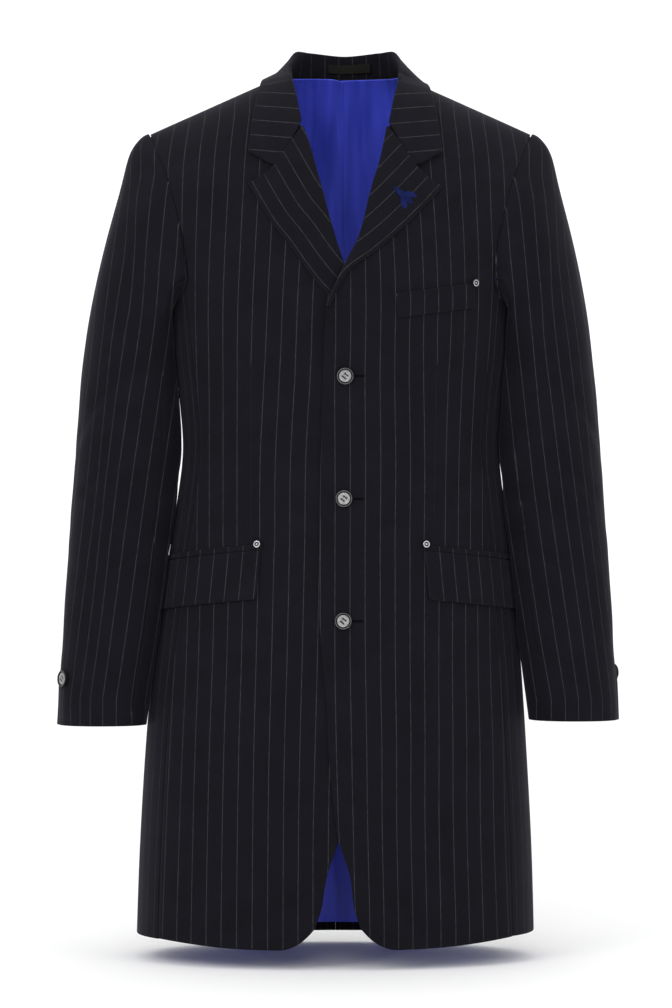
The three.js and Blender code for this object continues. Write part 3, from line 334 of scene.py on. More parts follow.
def shell(name, mid, out, thick, uv, materials, inside=None, marks=None):
    if out is None:
        out = gridNormals(mid)
    facing = np.cross(mid[:-1, 1:] - mid[:-1, :-1], mid[1:, :-1] - mid[:-1, :-1])
    if (facing * out[:-1, :-1]).sum() < 0:
        mid, out, uv = mid[:, ::-1], out[:, ::-1], uv[:, ::-1]
        inside = None if inside is None else inside[:, ::-1]
        marks = None if marks is None else marks[:, ::-1]
    rows, cols = mid.shape[:2]
    radius = min(rim["radius"], thick * 0.45)
    edge = perimeter(rows, cols)
    near = np.stack([np.clip(edge[:, 0], 1, rows - 2), np.clip(edge[:, 1], 1, cols - 2)], axis=1)
    edgeMid = mid[edge[:, 0], edge[:, 1]]
    edgeOut = out[edge[:, 0], edge[:, 1]]
    away = edgeMid - mid[near[:, 0], near[:, 1]]
    away = unit(away - edgeOut * (away * edgeOut).sum(axis=1, keepdims=True))
    kept = mid.copy()
    kept[edge[:, 0], edge[:, 1]] = edgeMid - away * radius
    points = [(kept + out * thick / 2).reshape(-1, 3), (kept - out * thick / 2).reshape(-1, 3)]
    for turn in rim["turns"]:
        points.append(edgeMid - away * radius * (1 - math.sin(turn)) + edgeOut * math.cos(turn) * thick / 2)
    count = rows * cols
    at = np.arange(count).reshape(rows, cols)
    outer = np.stack([at[:-1, :-1], at[:-1, 1:], at[1:, 1:], at[1:, :-1]], axis=-1).reshape(-1, 4)
    inner = outer[:, ::-1] + count
    loops = [at[edge[:, 0], edge[:, 1]]]
    for k in range(len(rim["turns"])):
        loops.append(2 * count + k * len(edge) + np.arange(len(edge)))
    loops.append(loops[0] + count)
    faces = [outer, inner]
    for a, b in zip(loops[:-1], loops[1:]):
        faces.append(np.stack([a, b, np.roll(b, -1), np.roll(a, -1)], axis=-1))
    flatUv = uv.reshape(-1, 2)
    edgeUv = uv[edge[:, 0], edge[:, 1]]
    turns = len(rim["turns"])
    allUv = np.concatenate([flatUv, flatUv] + [edgeUv] * turns)
    allMarks = None
    if marks is not None:
        flat = marks.reshape(-1, 3)
        allMarks = np.concatenate([flat, flat] + [marks[edge[:, 0], edge[:, 1]]] * turns)
    indices = np.zeros(sum(len(f) for f in faces), dtype=np.int32)
    if inside is not None:
        indices[len(outer):2 * len(outer)] = inside.reshape(-1).astype(np.int32)
    obj = makeMesh(name, np.concatenate(points), np.concatenate(faces), materials, indices, allUv, allMarks)
    wide = np.linalg.norm(np.diff(mid, axis=1), axis=-1).sum(axis=1).max()
    long = np.linalg.norm(np.diff(mid, axis=0), axis=-1).sum(axis=0).max()
    corners = np.cross(mid[1:, 1:] - mid[:-1, :-1], mid[1:, :-1] - mid[:-1, 1:])
    area = np.linalg.norm(corners, axis=-1).sum() / 2
    obj["cut"] = [wide / 1000, long / 1000, area / 1e6]
    return obj


def asCloth(obj, node):
    wide, long, area = obj["cut"]
    long = max(long, 0.0101)  # narrow strips
    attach(obj, "root")
    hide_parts(node)


def asPart(obj, node):
    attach(obj, "root")
    if node:
        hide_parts(node)


# Materials
def put(tree, socket, value):
    if isinstance(value, bpy.types.NodeSocket):
        tree.links.new(value, socket)
    else:
        socket.default_value = value


def maths(tree, operation, a, b=0.0, clamp=False):
    node = tree.nodes.new("ShaderNodeMath")
    node.operation = operation
    node.use_clamp = clamp
    put(tree, node.inputs[0], a)
    put(tree, node.inputs[1], b)
    return node.outputs[0]


def band(tree, value, low, high, first=0.0, last=1.0):
    node = tree.nodes.new("ShaderNodeMapRange")
    node.interpolation_type = "SMOOTHSTEP"
    put(tree, node.inputs["Value"], value)
    for name, v in (("From Min", low), ("From Max", high), ("To Min", first), ("To Max", last)):
        put(tree, node.inputs[name], v)
    return node.outputs["Result"]


def grain(tree, vector, scale, detail=2.0, roughness=0.5, distortion=0.0):
    node = tree.nodes.new("ShaderNodeTexNoise")
    put(tree, node.inputs["Vector"], vector)
    setInputs(node, {"Scale": scale, "Detail": detail, "Roughness": roughness, "Distortion": distortion})
    return node.outputs["Fac"]


def blend(tree, share, a, b):
    node = tree.nodes.new("ShaderNodeMix")
    node.data_type = "RGBA"
    put(tree, node.inputs[0], share)
    put(tree, node.inputs[6], a)
    put(tree, node.inputs[7], b)
    return node.outputs[2]


def relief(tree, height, distance, strength=1.0, under=None):
    node = tree.nodes.new("ShaderNodeBump")
    put(tree, node.inputs["Height"], height)
    setInputs(node, {"Distance": distance, "Strength": strength})
    if under is not None:
        tree.links.new(under, node.inputs["Normal"])
    return node.outputs["Normal"]


def setInputs(shader, values):
    for name, value in values.items():
        shader.inputs[name].default_value = value


def newMaterial(name):
    material = bpy.data.materials.new(name)
    material.use_nodes = True
    tree = material.node_tree
    return material, tree, tree.nodes["Principled BSDF"]


def clothCoords(tree):
    uvMap = tree.nodes.new("ShaderNodeUVMap")
    uvMap.uv_map = "cloth"
    split = tree.nodes.new("ShaderNodeSeparateXYZ")
    tree.links.new(uvMap.outputs["UV"], split.inputs[0])
    u = maths(tree, "MULTIPLY", split.outputs[0], 1000.0)
    v = maths(tree, "MULTIPLY", split.outputs[1], 1000.0)
    return uvMap.outputs["UV"], u, v


wool = {
    "dark": (0.0024, 0.0023, 0.0042, 1), "light": (0.0062, 0.0059, 0.0092, 1),
    "stripe": (0.043, 0.042, 0.045, 1), "dotPitch": 1.7, "twill": 1.1, "specular": 0.1,
    "sheen": 0.055, "sheenSpread": 0.42, "sheenTint": (0.62, 0.66, 0.85, 1), "roughness": 0.92,
    "fuzz": 0.00018, "groove": 0.9, "grooveDeep": 0.0009,
}


def woolMaterial(name, phase):
    material, tree, shader = newMaterial(name)
    uv, u, v = clothCoords(tree)
    marksNode = tree.nodes.new("ShaderNodeAttribute")
    marksNode.attribute_name = "marks"
    split = tree.nodes.new("ShaderNodeSeparateXYZ")
    tree.links.new(marksNode.outputs["Vector"], split.inputs[0])
    away, take = split.outputs[0], split.outputs[1]
    past = maths(tree, "GREATER_THAN", away, 0.0)
    shifted = maths(tree, "ADD", u, maths(tree, "MULTIPLY", take, past))
    turned = maths(tree, "DIVIDE", maths(tree, "SUBTRACT", shifted, phase), stripes["pitch"])
    share = maths(tree, "FRACT", maths(tree, "ADD", turned, 0.5))
    fromLine = maths(tree, "ABSOLUTE", maths(tree, "SUBTRACT", share, 0.5))
    off = maths(tree, "MULTIPLY", fromLine, stripes["pitch"])
    fuzzy = grain(tree, uv, 900, 3)
    off = maths(tree, "ADD", off, maths(tree, "MULTIPLY", maths(tree, "SUBTRACT", fuzzy, 0.5), 0.5))
    line = band(tree, off, stripes["wide"] / 2 - 0.15, stripes["wide"] / 2 + 0.3, 1.0, 0.0)
    beat = maths(tree, "SINE", maths(tree, "MULTIPLY", v, 2 * math.pi / wool["dotPitch"]))
    dots = band(tree, beat, -0.9, 0.7, 0.45, 1.0)
    worn = band(tree, grain(tree, uv, 110, 2), 0.3, 0.65, 0.55, 1.0)
    line = maths(tree, "MULTIPLY", line, maths(tree, "MULTIPLY", dots, worn))
    nap = grain(tree, uv, 1500, 4, 0.65)
    cloud = grain(tree, uv, 26, 3, 0.5)
    nearTone, farTone = maths(tree, "MULTIPLY", nap, 0.8), maths(tree, "MULTIPLY", cloud, 0.35)
    tone = maths(tree, "ADD", nearTone, farTone, clamp=True)
    base = blend(tree, band(tree, tone, 0.3, 0.8), wool["dark"], wool["light"])
    put(tree, shader.inputs["Base Color"], blend(tree, line, base, wool["stripe"]))
    setInputs(shader, {
        "Roughness": wool["roughness"], "Specular IOR Level": wool["specular"], "Sheen Weight": wool["sheen"],
        "Sheen Roughness": wool["sheenSpread"], "Sheen Tint": wool["sheenTint"]})
    slant = maths(tree, "ADD", u, v)
    twill = maths(tree, "SINE", maths(tree, "MULTIPLY", slant, 2 * math.pi / wool["twill"]))
    fibres = maths(tree, "ADD", nap, maths(tree, "MULTIPLY", twill, 0.12))
    shape = relief(tree, fibres, wool["fuzz"], 0.8)
    sewn = maths(tree, "MULTIPLY", band(tree, maths(tree, "ABSOLUTE", away), 0.0, wool["groove"], 1.0, 0.0),
                band(tree, maths(tree, "ABSOLUTE", take), 0.2, 3.0))
    shape = relief(tree, maths(tree, "MULTIPLY", sewn, -1.0), wool["grooveDeep"], 1.0, shape)
    tree.links.new(shape, shader.inputs["Normal"])
    return material


lining = {
    "dark": (0.030, 0.048, 0.46, 1), "light": (0.085, 0.118, 0.90, 1), "roughness": 0.36, "weave": 0.00008,
    "warp": 0.8, "creaseDeep": 0.006, "rippleDeep": 0.0006,
    "sheen": 0.25, "sheenSpread": 0.3, "sheenTint": (0.35, 0.45, 1, 1),
}


def liningMaterial():
    material, tree, shader = newMaterial("satinLining")
    uv, u, v = clothCoords(tree)
    drawn = tree.nodes.new("ShaderNodeMapping")
    tree.links.new(uv, drawn.inputs["Vector"])
    drawn.inputs["Scale"].default_value = (1.0, 0.11, 1.0)
    upright = drawn.outputs["Vector"]
    # painted sheen: the satin's colour runs lighter and darker in long streaks along the cloth, standing in
    # for light on its folds; the fine thread grain mixed in is the cloth's own
    paintedSheen = grain(tree, upright, 46, 2, 0.5, 0.3)
    thread = grain(tree, uv, 1400, 2)
    tone = maths(tree, "ADD", maths(tree, "MULTIPLY", paintedSheen, 0.8), maths(tree, "MULTIPLY", thread, 0.25))
    shade = blend(tree, band(tree, tone, 0.3, 0.75), lining["dark"], lining["light"])
    put(tree, shader.inputs["Base Color"], shade)
    put(tree, shader.inputs["Roughness"], band(tree, thread, 0.3, 0.7, lining["roughness"] - 0.06, 0.46))
    setInputs(shader, {
        "Sheen Weight": lining["sheen"], "Sheen Roughness": lining["sheenSpread"],
        "Sheen Tint": lining["sheenTint"]})
    warp = maths(tree, "SINE", maths(tree, "MULTIPLY", u, 2 * math.pi / lining["warp"]))
    shape = relief(tree, maths(tree, "ADD", warp, thread), lining["weave"], 0.5)
    shape = relief(tree, grain(tree, upright, 42, 2, 0.45, 0.5), lining["creaseDeep"], 0.8, shape)
    shape = relief(tree, grain(tree, uv, 60, 3, 0.5, 0.8), lining["rippleDeep"], 0.5, shape)
    tree.links.new(shape, shader.inputs["Normal"])
    return material


def plainMaterial(name, dark, light, roughness, scale, bump, metallic=0.0, coat=0.0, specular=0.5):
    material, tree, shader = newMaterial(name)
    place = tree.nodes.new("ShaderNodeTexCoord")
    vector = place.outputs["Object"]
    tone = grain(tree, vector, scale, 4, 0.6, 0.6)
    put(tree, shader.inputs["Base Color"], blend(tree, band(tree, tone, 0.35, 0.65), dark, light))
    wear = grain(tree, vector, scale * 3, 3)
    dull = band(tree, wear, 0.3, 0.7, roughness * 0.8, min(1.0, roughness * 1.25))
    put(tree, shader.inputs["Roughness"], dull)
    setInputs(shader, {"Metallic": metallic, "Coat Weight": coat, "Specular IOR Level": specular})
    tree.links.new(relief(tree, grain(tree, vector, scale * 6, 3), bump, 0.6), shader.inputs["Normal"])
    return material


woolLeft = woolMaterial("woolLeft", stripes["left"])
woolRight = woolMaterial("woolRight", stripes["right"])
satin = liningMaterial()
finishes = {
    "hornRing": {"dark": (0.045, 0.044, 0.045, 1), "light": (0.09, 0.088, 0.09, 1),
                 "roughness": 0.45, "scale": 300, "bump": 0.00004, "coat": 0.1},
    "hornFace": {"dark": (0.17, 0.168, 0.172, 1), "light": (0.32, 0.315, 0.322, 1),
                 "roughness": 0.5, "scale": 260, "bump": 0.00005, "coat": 0.1},
    "hornRim": {"dark": (0.002, 0.002, 0.002, 1), "light": (0.005, 0.005, 0.005, 1),
                "roughness": 0.6, "scale": 300, "bump": 0.00004, "specular": 0.15},
    "thread": {"dark": (0.001, 0.001, 0.002, 1), "light": (0.004, 0.004, 0.006, 1),
               "roughness": 0.8, "scale": 1500, "bump": 0.0001, "specular": 0.05},
    "blueThread": {"dark": (0.003, 0.006, 0.040, 1), "light": (0.008, 0.014, 0.095, 1),
                   "roughness": 0.7, "scale": 1600, "bump": 0.0001, "specular": 0.1},
    "rivetMetal": {"dark": (0.36, 0.37, 0.39, 1), "light": (0.52, 0.53, 0.55, 1),
                   "roughness": 0.3, "scale": 500, "bump": 0.00003, "metallic": 1.0},
    "labelCloth": {"dark": (0.0026, 0.0028, 0.0018, 1), "light": (0.0058, 0.006, 0.0042, 1),
                   "roughness": 0.85, "scale": 900, "bump": 0.0001, "specular": 0.2},
}
plain = {name: plainMaterial(name, **finish) for name, finish in finishes.items()}
horn = [plain["hornFace"], plain["hornRim"], plain["hornRing"]]
print("materials made")

# Fronts
fronts = {
    "columns": 66, "lowerRows": 205, "upperRows": 84, "facing": 0.42,
    "breakZ": -264, "gorgeZ": -57, "neckCurve": 0.8, "cornerRise": 24, "cornerReach": 43, "cornerPower": 2.3,
    "hemFront": -963, "hemSide": -953, "hemBack": -972, "rightDrop": 3,
    "lift": 1.5, "liftX": 95, "liftTop": -150, "liftSoft": 60,
    "tuckZ": -242, "tuckWide": 45, "tuckTall": 48, "tuckLift": 4.6,
}
# level, middle of the overlap, how far the edge passes it
frontEdge = np.array([
    [-939, -3, -25], [-917, -3, -18], [-881, -2.5, -12.5], [-843, -2, 0], [-808, -1.5, 5.5],
    [-746, -0.5, 12.5], [-693, 0.5, 15.5], [-654, 1.5, 20.5], [-602, 2.5, 25.5], [-470, 3, 25],
    [-361, 3.5, 23.5], [-264, 4.5, 20.5]], float)
# level, how far to the wearer's left: the lapels' roll lines, then the armholes' edges
rollLeft = np.array([
    [-264, -16], [-248, -11], [-212, 6.5], [-181, 22], [-129, 35.2], [-95, 45.4], [-57, 53]], float)
rollRight = np.array([
    [-264, 25], [-248, 18], [-212, 1.8], [-177, -9.6], [-124, -24], [-82, -35.2], [-57, -43.5]], float)
armFront = np.array([
    [-225, 171], [-184, 174], [-162, 179], [-140, 184], [-104, 195], [-86, 203], [-57, 215]], float)
armBack = np.array([
    [-225, 180], [-184, 181], [-140, 186], [-104, 195], [-86, 203], [-57, 215]], float)


def hemLevel(x, z, side, face):
    r = np.abs(x) / halfAt(z)
    base = mix(fronts["hemFront"] if face < 0 else fronts["hemBack"], fronts["hemSide"], smooth(r * r))
    return base - (fronts["rightDrop"] * smooth(r) if side < 0 else 0)


def frontEdgeX(z, side):
    table = rollLeft if side > 0 else rollRight
    top = ridge(body["neckX"])
    t = np.clip((z - fronts["gorgeZ"]) / (top - fronts["gorgeZ"]), 0, 1)
    neck = mix(table[-1, 1], side * body["neckX"] + body["neckMiddle"], t ** fronts["neckCurve"])
    above = np.where(z <= fronts["gorgeZ"], along(table, z, 1), neck)
    below = along(frontEdge, z, 1) - side * along(frontEdge, z, 2)
    return np.where(z >= fronts["breakZ"], above, below)


def overlapShift(x, z, side):
    near = smooth((fronts["liftX"] - np.abs(x)) / fronts["liftSoft"])
    below = smooth((fronts["liftTop"] - z) / fronts["liftSoft"])
    tuck = bell(x / fronts["tuckWide"]) * bell((z - fronts["tuckZ"]) / fronts["tuckTall"])
    tuck = fronts["tuckLift"] * tuck
    return near * below * side * fronts["lift"] + (tuck if side > 0 else 0)


def frontPoint(x, z, off):
    return onBody(x, z, -1) + outward(x, z, -1) * np.asarray(off + 0 * x)[..., None]


def lowerFront(s, v, side):
    z = mix(fronts["hemFront"], chestZ, v) + 0 * s
    for k in range(hemRounds):
        inner = frontEdgeX(np.maximum(z, frontEdge[0, 0]), side)
        seam = side * body["frontSeam"] * halfAt(z) + shiftAt(z) - side * gap * 0.5
        x = mix(inner, seam, s)
        corner = np.clip(1 - np.abs(x - inner) / fronts["cornerReach"], 0, 1)
        hem = hemLevel(x, z, side, -1) + fronts["cornerRise"] * corner ** fronts["cornerPower"]
        z = mix(hem, chestZ, v)
    return x, z


def upperFront(s, v, side):
    theta = v * math.pi / 2
    x = side * mix(0, body["shoulderX"], s) + 0 * v
    for k in range(topRounds):
        z = mix(chestZ, ridge(x), np.sin(theta))
        x = mix(frontEdgeX(z, side), side * along(armFront, z, 1), s)
    return x, np.minimum(mix(chestZ, ridge(x), np.sin(theta)), ridge(x) - underRidge)


def frontSurface(side):
    s = np.linspace(0, 1, fronts["columns"])[None, :]
    low = np.linspace(0, 1, fronts["lowerRows"])[:, None]
    high = np.linspace(0, 1, fronts["upperRows"])[1:, None]
    lowX, lowZ = lowerFront(s, low, side)
    highX, highZ = upperFront(s, high, side)
    x = np.concatenate([lowX, highX])
    z = np.concatenate([lowZ, highZ])
    mid = frontPoint(x, z, overlapShift(x, z, side) - cloth / 2)
    out = outward(x, z, -1)
    top = ridge(x[-1])
    slope = unit(np.array([side * body["ridgeSlope"], 0, 1.0]))
    mid[-1] = stack(x[-1], body["ridgeY"] - gap / 2, top) - slope * cloth / 2
    out[-1] = slope
    return x, z, mid, out


def climb(mid):  # length up the cloth, for the second pattern direction
    step = np.linalg.norm(np.diff(mid, axis=0), axis=-1)
    return np.concatenate([np.zeros((1, mid.shape[1])), np.cumsum(step, axis=0)])


def spread(mid):  # length across the cloth
    step = np.linalg.norm(np.diff(mid, axis=1), axis=-1)
    return np.concatenate([np.zeros((len(mid), 1)), step.cumsum(axis=1)], axis=1)


def pattern(u, mid):
    return np.stack([u, climb(mid)], axis=-1)


frontPieces = {}
for side, label, material in ((1, "left", woolLeft), (-1, "right", woolRight)):
    x, z, mid, out = frontSurface(side)
    u, marks = frontStripe(x, z, side)
    inside = np.zeros((mid.shape[0] - 1, mid.shape[1] - 1), bool)
    inside[:, int(fronts["facing"] * fronts["columns"]):] = True
    frontPieces[side] = shell(label + "_front_cloth", mid, out, cloth, pattern(u, mid), [material, satin],
                              inside, marks)
print("fronts made")

# Backs and their lining
backs = {"columns": 58, "lowerRows": 190, "upperRows": 80, "topZ": 12, "drop": 4, "phase": 4.0, "turnUp": 4}
backLining = {
    "columns": 46, "lowerRows": 150, "upperRows": 70, "thick": 1.0, "gap": 0.55, "short": 10, "shortRows": 30,
    "pleat": 1.7, "pleatWide": 9, "overlap": 4, "wrinkle": 1.6, "inset": 8,
}


def backSurface(side, columns, lowRows, highRows, overlap=0.0, inset=0.0):
    s = np.linspace(0, 1, columns)[None, :]
    v = np.linspace(0, 1, lowRows)[:, None]
    centre = side * (gap * 0.5 - overlap)
    z = mix(fronts["hemBack"], chestZ, v) + 0 * s
    for k in range(hemRounds):
        seam = side * body["backSeam"] * halfAt(z) + shiftAt(z) - side * gap * 0.5
        x = mix(centre + shiftAt(z), seam, s)
        z = mix(hemLevel(x, z, side, 1), chestZ, v)
    v = np.linspace(0, 1, highRows)[1:, None]
    topX = np.abs(mix(0, body["shoulderX"], s))
    neckHalf = body["neckX"] + side * body["neckMiddle"]
    neck = backs["topZ"] - backs["drop"] * (topX / neckHalf) ** 2
    share = np.where(topX < neckHalf, np.clip((neck - chestZ) / (ridge(topX) - chestZ), 0, 1), 1)
    theta = v * np.arcsin(share)
    highX = side * mix(0, body["shoulderX"], s) + 0 * v
    for k in range(topRounds):
        highZ = mix(chestZ, ridge(highX), np.sin(theta))
        highX = mix(centre, side * (along(armBack, highZ, 1) - inset), s)
    highZ = np.minimum(mix(chestZ, ridge(highX), np.sin(theta)), ridge(highX) - underRidge)
    x = np.concatenate([x, highX])
    z = np.concatenate([z, highZ])
    p = onBody(x, z, 1)
    out = outward(x, z, 1)
    onRidge = np.broadcast_to(theta[-1] > 1.5692, x[-1].shape)
    slope = unit(np.array([side * body["ridgeSlope"], 0, 1.0]))
    p[-1] = np.where(onRidge[:, None], stack(x[-1], body["ridgeY"] + gap / 2, ridge(x[-1])), p[-1])
    out[-1] = np.where(onRidge[:, None], slope, out[-1])
    return x, z, p, out


for side, label in ((1, "left"), (-1, "right")):
    x, z, p, out = backSurface(side, backs["columns"], backs["lowerRows"], backs["upperRows"])
    mid = p - out * cloth / 2
    u = mix(side * spread(mid), x - shiftAt(z), 0.35) + backs["phase"]
    inside = np.ones((mid.shape[0] - 1, mid.shape[1] - 1), bool)
    inside[:backs["turnUp"]] = False  # rows of wool turned up at the hem
    obj = shell(label + "_back_cloth", mid, out, cloth, pattern(u, mid), [woolLeft, satin], inside)
    asCloth(obj, label + "_back")

    overlap = backLining["overlap"] if side < 0 else 0.0
    x, z, p, out = backSurface(side, backLining["columns"], backLining["lowerRows"], backLining["upperRows"],
                               overlap, backLining["inset"])
    raised = np.clip(1 - np.arange(len(p)) / backLining["shortRows"], 0, 1)
    p[..., 2] += backLining["short"] * raised[:, None]
    pleat = backLining["pleat"] * smooth((x + backLining["pleatWide"]) / backLining["pleatWide"]) * (side < 0)
    wrinkle = np.sin(x / 9 + z / 160 + 1) * np.sin(z / 47 + x / 33) + 0.6 * np.sin(x / 5.2 - z / 70)
    wrinkle = wrinkle * backLining["wrinkle"] * smooth((-z + 5) / 40)
    deep = cloth / 2 + backLining["thick"] / 2 + backLining["gap"] + cloth / 2
    mid = p - out * (deep + pleat + np.abs(wrinkle) + 0.3 * wrinkle)[..., None]
    u = side * spread(mid)
    obj = shell(label + "_back_lining_satin", mid, out, backLining["thick"], pattern(u, mid), [satin])
    asCloth(obj, label + "_back_lining")
print("backs made")

# Side bodies
sides = {"columns": 40, "rows": 205, "seamTurn": 0.0004, "stripeZ": -400.0}
frontAngle = math.asin(body["frontSeam"] ** (body["roundness"] / 2))
backAngle = math.pi - math.asin(body["backSeam"] ** (body["roundness"] / 2))


def sidePoint(angle, z, side):
    p = ringPoint(angle, z, side, 0)
    isFront = np.cos(angle) > 0
    near = smooth(np.abs(np.cos(angle)) * 2.6)
    p[..., 1] += near * np.where(isFront, foldAt(p[..., 0], z, -1), -foldAt(p[..., 0], z, 1))
    return p


def sideNormal(angle, z, side):
    e = 0.004
    across = sidePoint(angle + e, z, side) - sidePoint(angle - e, z, side)
    rise = sidePoint(angle, z + 1, side) - sidePoint(angle, z - 1, side)
    return side * unit(np.cross(across, rise))


for side, label in ((1, "left"), (-1, "right")):
    s = np.linspace(0, 1, sides["columns"])[None, :]
    t = np.linspace(0, 1, sides["rows"])[:, None]
    angle = mix(frontAngle + sides["seamTurn"], backAngle - sides["seamTurn"], s) + 0 * t
    top = chestZ - body["underarmDip"] * (1 - (2 * s - 1) ** 2) ** 0.8
    hemZ = np.array(float(fronts["hemSide"]))
    frontHem = hemLevel(body["frontSeam"] * halfAt(hemZ), hemZ, side, -1)
    backHem = hemLevel(body["backSeam"] * halfAt(hemZ), hemZ, side, 1)
    z = mix(mix(frontHem, backHem, s), top, t)
    out = sideNormal(angle, z, side)
    mid = sidePoint(angle, z, side) - out * cloth / 2
    level = np.array(sides["stripeZ"])  # the stripes follow on from the front's here
    seamX = side * body["frontSeam"] * halfAt(level) + shiftAt(level)
    u = frontStripe(seamX, level, side)[0]
    u = u + side * (girth(angle, z) - girth(frontAngle + 0 * z, z)) * stripes["sideScale"]
    inside = np.ones((mid.shape[0] - 1, mid.shape[1] - 1), bool)
    obj = shell(label + "_side_body_cloth", mid, out, cloth, pattern(u, mid), [woolLeft, satin], inside)
    asCloth(obj, label + "_side_body")
print("side bodies made")

# Sleeves
# level, centre x, centre y, half width, half depth
sleeveRings = np.array([
    [-722, 265, -34, 48.6, 45], [-619, 256, -27, 53, 50], [-546, 250, -20, 54.5, 56],
    [-477, 245, -14, 55, 62],
    [-398, 237, -9, 57.5, 68], [-340, 233.5, -6, 56.5, 71], [-290, 229.5, -4, 55.5, 73]], float)
sleeves = {
    "topZ": -290, "endLeft": -716, "endRight": -721.5, "shift": -2.8, "roundness": 2.15, "seam": 0.8,
    "headShare": 0.34, "headRows": 48, "lowRows": 128, "topColumns": 60, "underColumns": 46,
    "headRise": 50, "headPull": 1.6, "headEnd": 0.95, "underReach": 0.27, "frontTurn": 0.36, "backTurn": 0.8,
    "seamTurn": 0.0002, "rope": 0.5, "vent": 1.5, "ventTall": 60,
    "curl": 0.9, "tuckDeep": 3.4, "tuckIn": 5, "flangeRise": 1.9, "sink": 2.0, "bulge": 5.5,
    "firstRow": 0.025, "hug": {1: 0.85, -1: 1.12}, "stripeScale": 0.945, "stripeFrom": 0.06, "stripeTo": 0.46,
    "clear": 1.4, "pocketClear": 3.4, "pocketLow": -620, "pocketTop": -512,
}
# turn round the sleeve, level, slant, height, reach round, depth. The first five are the CAD's.
sleeveFolds = np.array([
    [0.3, -330, 30, 16, 0.16, 3.5], [0.42, -455, 26, 15, 0.15, 4], [0.34, -500, -22, 13, 0.14, 4],
    [0.7, -420, 24, 18, 0.14, 3], [0.2, -610, 20, 20, 0.16, 2.5],
    # finer creases at the elbow and under the head
    [0.24, -430, 34, 9, 0.12, 1.8], [0.2, -478, -26, 8, 0.11, 1.7], [0.28, -540, 24, 9, 0.12, 1.6],
    [0.12, -380, 40, 12, 0.1, 1.4], [0.46, -360, 30, 10, 0.13, 1.8], [0.3, -390, -30, 9, 0.1, 1.5],
    [0.16, -560, -18, 10, 0.1, 1.2], [0.62, -480, 26, 10, 0.12, 2.0], [0.8, -440, -30, 10, 0.12, 1.8],
    [0.88, -530, 22, 11, 0.12, 1.4], [0.24, -650, -16, 10, 0.12, 1.2], [0.14, -250, 26, 14, 0.08, 1.5],
    [0.93, -250, -26, 14, 0.08, 1.5], [0.72, -610, 24, 12, 0.14, 1.8]], float)
# level, and how much nearer the body the sleeve hangs
sleeveHug = np.array([
    [-722, 2], [-650, 4], [-600, 8], [-540, 11], [-490, 12], [-440, 10], [-395, 6],
    [-340, 2], [-290, 0]], float)
# level, then how far out eight stripes run as they are seen from the front, in millimetres 4.09 m away
sleeveStripes = {
    1: np.array([
        [-690, 221.2, 237.3, 252.7, 266.8, 280.5, 292.8, 302.2, 309.1],
        [-602, 207.5, 222, 238.5, 254.1, 268.4, 281.3, 291.6, 299.2],
        [-470, 187, 203.4, 219.8, 235.3, 250.3, 264.2, 275.8, 284.4],
        [-382, 177.1, 193.6, 209.9, 224.6, 239.6, 253, 265.3, 275.1],
        [-294, 168.3, 184.9, 200.5, 216.7, 229, 242, 255, 265.1],
        [-250, 163.4, 179.9, 196.2, 212.3, 226.3, 237.7, 248.9, 259.2],
        [-195, 157.9, 174.4, 191, 207.2, 221.2, 235, 243.3, 252],
        [-140, 152.4, 168.9, 185.4, 201.1, 216.7, 229.5, 240.7, 248.6],
        [-113, 145.2, 161.7, 178.2, 195.3, 211.9, 226.1, 237.2, 246.4]], float),
    -1: np.array([
        [-690, 210.5, 225.7, 242, 256.7, 270.3, 281.2, 291.5, 299.8],
        [-602, 196.4, 212.5, 228.9, 245.1, 258.3, 269.6, 281, 290.4],
        [-470, 178.8, 194.8, 211.2, 227.8, 243.2, 255.4, 264.1, 275.3],
        [-382, 166.1, 182.2, 198.8, 215.4, 231.4, 245.1, 255.4, 266.2],
        [-294, 154, 170, 186.1, 202.4, 217.7, 232.9, 246.3, 256.7],
        [-250, 148.5, 164.5, 180.8, 197.2, 212.5, 225.7, 239.8, 251.6],
        [-195, 143, 159, 175, 192.5, 208.8, 221.2, 231.6, 244.3],
        [-140, 138.1, 154.6, 171.1, 187, 203.7, 218.9, 227.7, 236],
        [-113, 134.2, 150.7, 166.7, 183.2, 199.3, 214.2, 225.5, 233.2]], float),
}
sleeveStripeCount = 8


def armhole(turn, side):
    w = turn - np.floor(turn)
    p = np.zeros(w.shape + (3,))
    n = np.zeros(w.shape + (3,))
    for face, table in ((-1, armFront), (1, armBack)):
        mask = (w <= body["armTurn"]) if face < 0 else (w >= body["armBackTurn"])
        v = 1 - w[mask] / body["armTurn"] if face < 0 else (w[mask] - body["armBackTurn"]) / body["armTurn"]
        x = np.full(v.shape, float(body["shoulderX"]))
        for k in range(topRounds):
            z = mix(chestZ, ridge(x), np.sin(v * math.pi / 2))
            x = along(table, z, 1)
        z = np.minimum(z, ridge(x) - underRidge)
        p[mask] = onBody(side * x, z, face)
        n[mask] = outward(side * x, z, face)
    mask = (w > body["armTurn"]) & (w < body["armBackTurn"])
    s = (w[mask] - body["armTurn"]) / (body["armBackTurn"] - body["armTurn"])
    z = chestZ - body["underarmDip"] * (1 - (2 * s - 1) ** 2) ** 0.8
    angle = mix(frontAngle, backAngle, s)
    p[mask] = ringPoint(angle, z, side, 0)
    n[mask] = unit(ringPoint(angle, z, side, 1) - ringPoint(angle, z, side, 0))
    return p, n


def seamStart(turn, side):
    p, n = armhole(turn, side)
    run = unit(armhole(turn + 0.004, side)[0] - armhole(turn - 0.004, side)[0])
    out = unit(np.cross(run, n)) * -side
    w = turn - np.floor(turn)
    a = (smooth(1 - np.abs(w - 0.5) / sleeves["underReach"]) * math.pi)[..., None]
    direction = unit(out * np.cos(a) + n * np.sin(a))
    facing = unit(n * np.cos(a) - out * np.sin(a))
    lift = sleeves["seam"] + cloth / 2 * np.abs(np.cos(a)) + 0.25 * np.abs(np.sin(a))
    lift = lift - sleeves["sink"] * smooth((0.22 - a / math.pi) / 0.17)
    return p + n * lift, direction, facing


